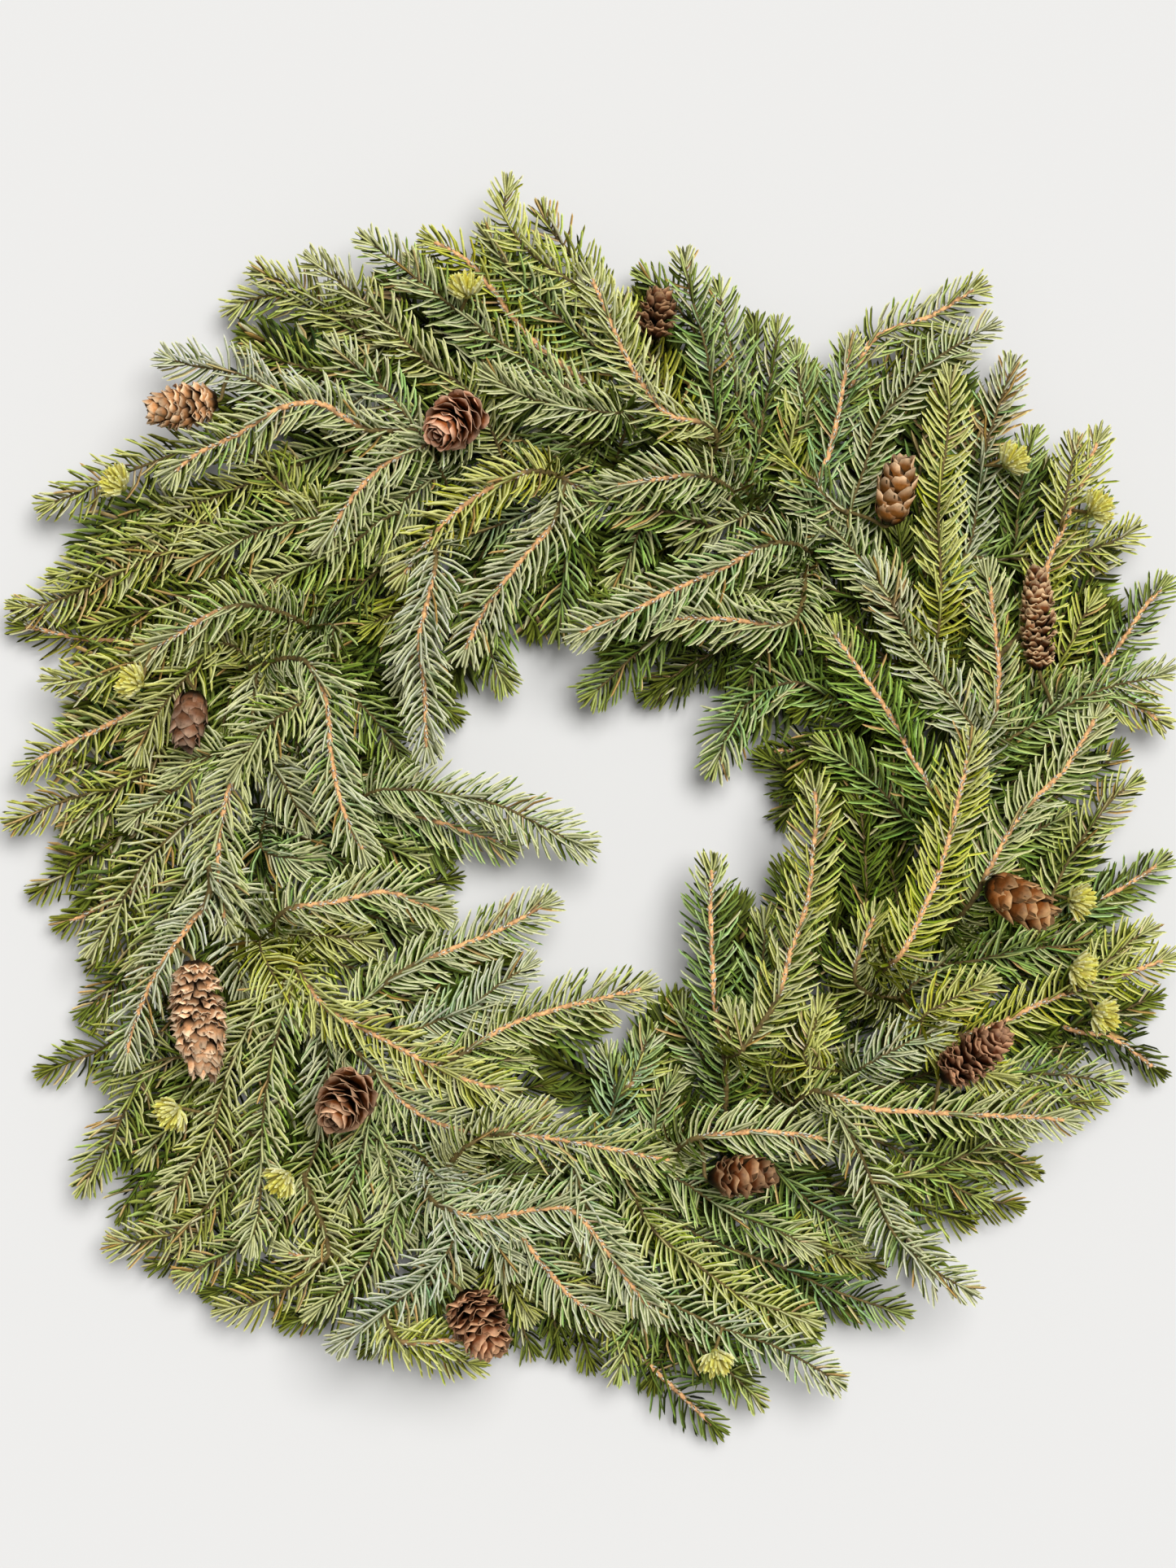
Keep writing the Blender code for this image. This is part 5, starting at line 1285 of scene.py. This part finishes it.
def add_pegs(shape, rng, stem, lead):
    """The short woody pegs that needles leave on a bare stem."""
    count = int((stem.length - lead) * PEGS_PER_MM)
    places = lead + (np.arange(count) + rng.uniform(0, 1, count)) / PEGS_PER_MM
    turns = rng.uniform(-2, 2, count)
    points, tangent, up = stem.at(places)
    outward = up * np.cos(turns)[:, None] + np.cross(tangent, up) * np.sin(turns)[:, None]
    ways = units(tangent + outward * rng.uniform(0.6, 1.4, (count, 1)))
    tones = np.array(BARK) * rng.uniform(0.45, 1.1, (count, 1))
    add_needles(shape, points + outward * 0.6, ways, ways, PEG_LENGTH * rng.uniform(0.7, 1.3, count),
                outward, tones, 1, 0.85, outline=PLAIN_ROWS)


def stand_for(node, ending, shape, materials, offset, smooth):
    """Make the shape's piece, which takes the place of a node."""
    thing = shape.make(f"{node}_{ending}", materials, offset, smooth)
    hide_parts(node)
    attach(thing, "root")


def dress_branch(branch, sprays, fittings, offset, materials):
    """The dressed branch that stands for a node."""
    name, angle, rows = BRANCHES[branch]
    rng = np.random.default_rng(100 + branch)
    shape = Shape()
    turns = np.linspace(HOOK_TURN[0], HOOK_TURN[-1], 26)
    share = np.clip((-turns - TIGHT_TURN) / (-turns[-1] - TIGHT_TURN), 0, 1)
    hook = hook_line(angle, turns, TIGHT_REACH + (HOOK_REACH - TIGHT_REACH) * share)
    add_tube(shape, hook, np.full(len(hook), TIGHT_WIRE), 8, 2, np.array(HOOK_TINT))
    for number, spray in enumerate(sprays):
        add_spray(shape, rng, spray, fittings, number == 0)
    stand_for(name, "needled", shape, materials, offset, (False, True, True))


def turned(axis):
    """Two ways square to an axis and to each other."""
    guide = np.array([0.0, 0.0, 1.0]) if abs(axis[2]) < 0.9 else np.array([1.0, 0.0, 0.0])
    side = unit(np.cross(guide, axis))
    return side, np.cross(axis, side)


SCALE_ALONG = 6
SCALE_ACROSS = 5

# Each cone's looks: how far its scales open (degrees), their number, their width and length as shares
# of its radius, how ragged they stand, its girth as a share of the node's, and the colours of the
# scales' faces and rims. Scales that open less than CLOSED hug the cone and have rounded points.
CLOSED = 36
CONE_LOOKS = {
    "cone_1": (46, 84, 0.66, 0.74, 1.1, 0.95, (0.60, 0.27, 0.10), (0.92, 0.65, 0.40)),
    "cone_2": (60, 44, 1.20, 0.95, 0.5, 0.92, (0.38, 0.105, 0.025), (0.94, 0.56, 0.36)),
    "cone_3": (50, 62, 0.66, 0.74, 1.2, 0.90, (0.14, 0.05, 0.02), (0.52, 0.30, 0.15)),
    "cone_4": (29, 36, 1.05, 1.05, 0.8, 0.80, (0.32, 0.115, 0.022), (0.74, 0.50, 0.29)),
    "cone_5": (46, 120, 0.76, 0.76, 1.1, 0.80, (0.18, 0.055, 0.014), (0.86, 0.59, 0.32)),
    "cone_6": (29, 34, 1.05, 1.05, 0.8, 0.88, (0.20, 0.085, 0.040), (0.50, 0.33, 0.22)),
    "cone_7": (34, 40, 1.02, 1.10, 0.9, 0.95, (0.25, 0.075, 0.014), (0.58, 0.34, 0.15)),
    "cone_8": (50, 165, 0.54, 0.70, 1.7, 0.96, (0.74, 0.37, 0.17), (1.0, 0.74, 0.48)),
    "cone_9": (62, 44, 1.20, 0.95, 0.5, 0.95, (0.22, 0.062, 0.014), (0.80, 0.49, 0.29)),
    "cone_10": (56, 84, 0.82, 0.82, 1.1, 0.92, (0.11, 0.03, 0.010), (0.68, 0.37, 0.20)),
    "cone_11": (42, 40, 1.15, 0.98, 0.7, 0.90, (0.15, 0.042, 0.010), (0.48, 0.28, 0.14)),
    "cone_12": (56, 80, 0.82, 0.82, 1.1, 0.92, (0.17, 0.05, 0.016), (0.78, 0.44, 0.24)),
}
# Painted shade: what a scale's colour is multiplied by deep inside the cone, where the other scales shade it
SCALE_DEPTH_SHADE = 0.03
# The last scales, which close the cone's tip
TIP_SCALES = 8
TIP_SHRINK = 0.45
CONE_STALK = 1.1


def scale_faces():
    """A scale's faces: its outer side, its under side and the border that joins them."""
    cells = SCALE_ALONG * SCALE_ACROSS
    grid = np.arange(cells).reshape(SCALE_ALONG, SCALE_ACROSS)
    a, b, c, d = grid[:-1, :-1].ravel(), grid[:-1, 1:].ravel(), grid[1:, 1:].ravel(), grid[1:, :-1].ravel()
    border = np.concatenate([grid[0, :-1], grid[:-1, -1], grid[-1, :0:-1], grid[:0:-1, 0]])
    beyond = np.roll(border, -1)
    return [np.stack([a, b, c, d], axis=1), np.stack([d, c, b, a], axis=1) + cells,
            np.stack([beyond, border, border + cells, beyond + cells], axis=1)]


def add_scale(shape, rng, foot, axis, out, side, size, opening, face, rim, ragged):
    """One cupped cone scale, thin and closed, from its foot on the cone's core to its ragged rim."""
    length, width = size
    u = np.linspace(0, 1, SCALE_ALONG)
    v = np.linspace(-1, 1, SCALE_ACROSS)
    closed = opening < math.radians(CLOSED)
    lean = opening * (1.45 - 1.2 * u if closed else 0.70 + 0.60 * u)
    halfway = (lean[:-1] + lean[1:]) / 2
    reach, rise = (np.concatenate([[0], np.cumsum(part * length / (SCALE_ALONG - 1))])
                   for part in (np.sin(halfway), np.cos(halfway)))
    spread = width / 2 * np.sin(math.pi * (0.10 + 0.50 * u)) ** 0.7 * np.where(u > 0.85, 0.72, 1)
    cup = 0.24 * width * (v ** 2)[None] * (0.35 + 0.65 * u)[:, None]
    wave = rng.normal(0, 0.03 * ragged, (SCALE_ALONG, SCALE_ACROSS)) * length * (u[:, None] > 0.5)
    centre = foot + reach[:, None] * out + rise[:, None] * axis
    normal = units(np.cos(lean)[:, None] * out - np.sin(lean)[:, None] * axis)
    surface = (centre[:, None] + side * (spread[:, None] * v[None])[..., None]
               - normal[:, None] * (cup + wave)[..., None])
    along = np.cos(lean[-1]) * axis + np.sin(lean[-1]) * out
    point = 0.30 if closed else 0.10
    rim_out = ((1 - v ** 2) * point + rng.normal(0, 0.05 * ragged, SCALE_ACROSS)) * length
    surface[-1] += rim_out[:, None] * along
    thick = 0.50 * (1 - 0.5 * u)[:, None, None]
    outer = surface + normal[:, None] * thick / 2
    under = surface - normal[:, None] * thick / 2
    # Painted shade: each scale darkens towards its foot, deep among the others
    depth = (SCALE_DEPTH_SHADE + (1 - SCALE_DEPTH_SHADE) * eased(u, 0.25, 0.7 if closed else 0.85))[:, None, None]
    edge = np.clip(eased(u, 0.80, 1.0)[:, None] + 0.3 * (np.abs(v)[None] > 0.9), 0, 1)[..., None]
    tone = (face * (1 - edge) + rim * edge) * depth * rng.uniform(0.58, 1.25)
    colours = np.concatenate([tone.reshape(-1, 3), tone.reshape(-1, 3) * 0.7])
    shape.add(np.concatenate([outer.reshape(-1, 3), under.reshape(-1, 3)]), colours,
              scale_faces(), 0)


def add_stalk(shape, fitting, start, radius, tint):
    """The stalk of a fitting, from inside it through its root to its seat on a stem."""
    root = fitting.root()
    stalk = np.array([start, root, (root + fitting.seat) / 2, fitting.seat])
    add_tube(shape, smooth_line(stalk, 1.5), radius, 7, 1, tint)


def dress_cone(fitting, offset, materials):
    """A cone: a core, cupped scales in a spiral from its stalk to its tip, and its stalk."""
    opening, count, broad, reach, ragged, girth, face, rim = CONE_LOOKS[fitting.name]
    number = int(fitting.name.split("_")[1])
    rng = np.random.default_rng(500 + number)
    side, other = turned(fitting.axis)
    shape = Shape()
    full = fitting.width / 2 * girth
    spots = np.linspace(0, 1, 9)
    core = fitting.root() + fitting.axis * (0.04 + 0.80 * spots[:, None]) * fitting.length
    # The core is painted in the scales' deepest shade
    add_tube(shape, core, full * 0.40 * np.sin(math.pi * (0.12 + 0.76 * spots)), 8, 0,
             np.array(face) * SCALE_DEPTH_SHADE)
    for index in range(count):
        share = min((index + 0.5) / (count - TIP_SCALES), 1)
        shut = max(0, (index + 0.5 - count + TIP_SCALES) / TIP_SCALES)
        turn = index * GOLDEN + number + rng.normal(0, 0.10 * ragged)
        out = side * math.cos(turn) + other * math.sin(turn)
        tilt = rng.normal(0, 0.12 * ragged)
        around = unit(np.cross(fitting.axis, out) + fitting.axis * tilt)
        belly = math.sin(math.pi * (0.20 + 0.68 * share)) ** 0.7
        shrunk = 1 - TIP_SHRINK * shut
        wide = full * broad * (0.62 + 0.38 * belly) * rng.uniform(0.86, 1.12) * shrunk
        long = full * reach * (0.55 + 0.45 * belly) * rng.uniform(0.92, 1.06) * shrunk
        lean = opening * (1.12 - 0.80 * share ** 2.2) * (1 - 0.8 * shut) + rng.normal(0, 6 * ragged)
        lean = math.radians(max(lean, 4) if opening >= CLOSED else min(max(lean, 12), CLOSED - 1))
        foot_radius = max(full * belly - long * math.sin(lean), full * 0.12) * (1 - 0.8 * shut)
        rise = (share * 0.92) * fitting.length - long * math.cos(lean) * 0.55 + rng.normal(0, 0.8 * ragged)
        foot = fitting.root() + fitting.axis * max(rise, 0.4) + out * foot_radius
        add_scale(shape, rng, foot, fitting.axis, out, around, (long, wide), lean,
                  np.array(face) * shrunk, np.array(rim) * shrunk, ragged)
    add_stalk(shape, fitting, fitting.root() + fitting.axis * 3, CONE_STALK, np.array(GREEN_BARK))
    stand_for(fitting.name, "scaled", shape, materials, offset, (True, True))


# Each bud's needles: their number, shortest and longest, thickness, painted edge shade, most bloom and
# painted sheen, and two colours
BUD_NEEDLES = 60
BUD_LENGTHS = (10.5, 14.0)
BUD_THICKNESS = 1.3
BUD_EDGE_SHADE = 0.70
BUD_BLOOM_AND_SHEEN = 0.05
BUD_PALE = (0.97, 0.86, 0.28)
BUD_FRESH = (0.86, 0.74, 0.07)
BUD_HEART = (0.45, 0.42, 0.08)
BUD_STALK = 0.95


def dress_bud(fitting, offset, materials):
    """A tuft of pale young needles, opening from a small bud on its stalk."""
    number = int(fitting.name.split("_")[1])
    rng = np.random.default_rng(800 + number)
    shape = Shape()
    order = np.arange(BUD_NEEDLES)
    height = 1 - 0.95 * (order + 0.5) / BUD_NEEDLES
    turn = order * GOLDEN
    flat = np.sqrt(np.clip(1 - height ** 2, 0, 1))
    away = unit(fitting.middle[:2] - RING_CENTRE)
    brush = unit(np.array([away[0], away[1], 0.6]))
    side, other = turned(brush)
    ways = (side * (flat * np.cos(turn))[:, None] + other * (flat * np.sin(turn))[:, None]
            + brush * height[:, None])
    first_ways = units(ways + rng.normal(0, 0.12, (BUD_NEEDLES, 3)))
    last_ways = units(first_ways + brush * 1.3 + rng.normal(0, 0.12, (BUD_NEEDLES, 3)))
    lengths = rng.uniform(*BUD_LENGTHS, BUD_NEEDLES)
    bases = fitting.middle + ways * 1.6
    mix = rng.uniform(0, 1, (BUD_NEEDLES, 1)) * 0.6 + 0.4 * (height[:, None] < 0.5)
    tones = np.array(BUD_FRESH) * (1 - mix) + np.array(BUD_PALE) * mix
    add_needles(shape, bases, first_ways, last_ways, lengths, units(ways + 1e-3), tones, 0, BUD_THICKNESS,
                BUD_EDGE_SHADE, most=BUD_BLOOM_AND_SHEEN)
    spots = np.linspace(0, 1, 7)
    core = fitting.middle + np.array([0, 0, 1.0]) * ((spots - 0.6) * 7)[:, None]
    add_tube(shape, core, 2.6 * np.sin(math.pi * (0.08 + 0.84 * spots)), 8, 1, np.array(BUD_HEART))
    add_stalk(shape, fitting, fitting.middle, BUD_STALK, np.array(GREEN_BARK) * 1.3)
    stand_for(fitting.name, "tuft", shape, materials, offset, (False, True))


# The ring's points round its hoop and round its wire, and how far each lap of tape stands out
RING_ROUND = 720
WIRE_ROUND = 10
TAPE_LAP = 0.035


def dress_ring(offset, material):
    """The ring as a round wire bound with tape, whose turns stand out a little."""
    shape = Shape()
    turns = np.arange(RING_ROUND) * 2 * math.pi / RING_ROUND
    around = np.arange(WIRE_ROUND) * 2 * math.pi / WIRE_ROUND
    lap = 1 + TAPE_LAP * ((turns[:, None] * 90 / math.pi + around[None] / (2 * math.pi)) % 1)
    radius = RING_WIRE * 0.96 * lap
    spread = RING_RADIUS + radius * np.cos(around)[None]
    points = np.stack([RING_CENTRE[0] + spread * np.cos(turns)[:, None],
                       RING_CENTRE[1] + spread * np.sin(turns)[:, None],
                       RING_HEIGHT + radius * np.sin(around)[None]], axis=-1).reshape(-1, 3)
    grid = np.arange(RING_ROUND * WIRE_ROUND).reshape(RING_ROUND, WIRE_ROUND)
    ahead = np.roll(grid, -1, axis=0)
    faces = np.stack([grid, ahead, np.roll(ahead, -1, axis=1), np.roll(grid, -1, axis=1)], axis=-1)
    shape.add(points, np.array(TAPE_TINT), [faces.reshape(-1, 4)], 0)
    stand_for("ring", "taped", shape, [material], offset, (True,))


def add_node(tree, kind, values):
    """A node of a material, with the values of its inputs."""
    node = tree.nodes.new(kind)
    for name, value in values.items():
        node.inputs[name].default_value = value
    return node


def make_material(name, roughness, grain, depth, bump, specular=0.4):
    """A material that takes its tint from the mesh and mottles it with noise of the given grain."""
    material = bpy.data.materials.new(name)
    material.use_nodes = True
    tree = material.node_tree
    shader = tree.nodes["Principled BSDF"]
    shader.inputs["Specular IOR Level"].default_value = specular
    tint = add_node(tree, "ShaderNodeAttribute", {})
    tint.attribute_name = "tint"
    place = add_node(tree, "ShaderNodeTexCoord", {})
    noise = add_node(tree, "ShaderNodeTexNoise", {"Scale": grain, "Detail": 4.0})
    band = add_node(tree, "ShaderNodeMapRange",
                    {"From Min": 0.3, "From Max": 0.7, "To Min": 1 - depth, "To Max": 1 + depth})
    shade = add_node(tree, "ShaderNodeVectorMath", {})
    shade.operation = "SCALE"
    dull = add_node(tree, "ShaderNodeMapRange", {"To Min": roughness - 0.1, "To Max": roughness + 0.1})
    relief = add_node(tree, "ShaderNodeBump", {"Distance": bump, "Strength": 0.6})
    for source, output, target, socket in (
            (place, "Object", noise, "Vector"), (noise, "Fac", band, "Value"), (tint, "Color", shade, 0),
            (band, "Result", shade, "Scale"), (shade, "Vector", shader, "Base Color"),
            (noise, "Fac", dull, "Value"), (dull, "Result", shader, "Roughness"),
            (noise, "Fac", relief, "Height"), (relief, "Normal", shader, "Normal")):
        tree.links.new(source.outputs[output], target.inputs[socket])
    return material


def make_floor():
    """A plain pale floor."""
    bpy.ops.mesh.primitive_plane_add(size=8.0, location=(0, 0, 0))
    floor = bpy.context.object
    floor.name = "floor"
    material = bpy.data.materials.new("floor_paint")
    material.use_nodes = True
    shader = material.node_tree.nodes["Principled BSDF"]
    shader.inputs["Base Color"].default_value = FLOOR_PAINT
    shader.inputs["Roughness"].default_value = 0.9
    shader.inputs["Specular IOR Level"].default_value = 0.1
    floor.data.materials.append(material)


def make_light():
    """An even white room, and one broad light from high up, behind the wreath's top right."""
    world = bpy.data.worlds.new("room")
    world.use_nodes = True
    world.node_tree.nodes["Background"].inputs["Color"].default_value = (1.0, 1.0, 1.0, 1)
    world.node_tree.nodes["Background"].inputs["Strength"].default_value = ROOM_STRENGTH
    bpy.context.scene.world = world
    data = bpy.data.lights.new("window", "SUN")
    data.energy = WINDOW_STRENGTH
    data.angle = math.radians(WINDOW_SPREAD)
    light = bpy.data.objects.new("window", data)
    light.location = WINDOW_PLACE
    light.rotation_euler = (-Vector(WINDOW_PLACE)).to_track_quat("-Z", "Y").to_euler()
    bpy.context.scene.collection.objects.link(light)


def make_camera(offset):
    """The camera, straight above the middle of the photograph."""
    data = bpy.data.cameras.new("camera")
    data.sensor_width = SENSOR
    data.lens = SENSOR * CAMERA_DISTANCE / PHOTO_HEIGHT
    camera = bpy.data.objects.new("camera", data)
    camera.location = ((PHOTO_CENTRE[0] + offset[0]) * MM, (PHOTO_CENTRE[1] + offset[1]) * MM,
                       (PHOTO_PLANE + CAMERA_DISTANCE) * MM)
    bpy.context.scene.collection.objects.link(camera)
    bpy.context.scene.camera = camera


def main():
    """Load the frame, lay the wreath out and dress every node."""
    for thing in list(bpy.data.objects):
        bpy.data.objects.remove(thing)
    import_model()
    ring_low, ring_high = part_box("ring")
    ring_middle = (np.array(ring_low) + np.array(ring_high)) / 2 / MM
    offset = np.array([ring_middle[0] - RING_CENTRE[0], ring_middle[1] - RING_CENTRE[1], 0.0])
    bpy.context.scene.view_settings.view_transform = "Standard"
    make_camera(offset)
    make_light()
    make_floor()

    needles = make_material("spruce_needles", 0.50, 900, 0.16, 0.0001, specular=0.08)
    bark = make_material("twig_bark", 0.75, 600, 0.35, 0.0004)
    wire = make_material("coated_wire", 0.5, 500, 0.12, 0.0001)
    scales = make_material("cone_scale", 0.46, 420, 0.26, 0.0003, specular=0.10)
    young = make_material("young_needle", 0.5, 900, 0.10, 0.0001, specular=0.2)

    space, wreath = lay_wreath()
    cones, buds = lay_fittings(space)
    for row in FILLS:
        lay_fill(space, wreath, row)
    lay_thicket(space, wreath)
    for branch, sprays in enumerate(wreath):
        dress_branch(branch, sprays, cones + buds, offset, [needles, bark, wire])
    for cone in cones:
        dress_cone(cone, offset, [scales, bark])
    for bud in buds:
        dress_bud(bud, offset, [young, bark])
    dress_ring(offset, wire)


main()
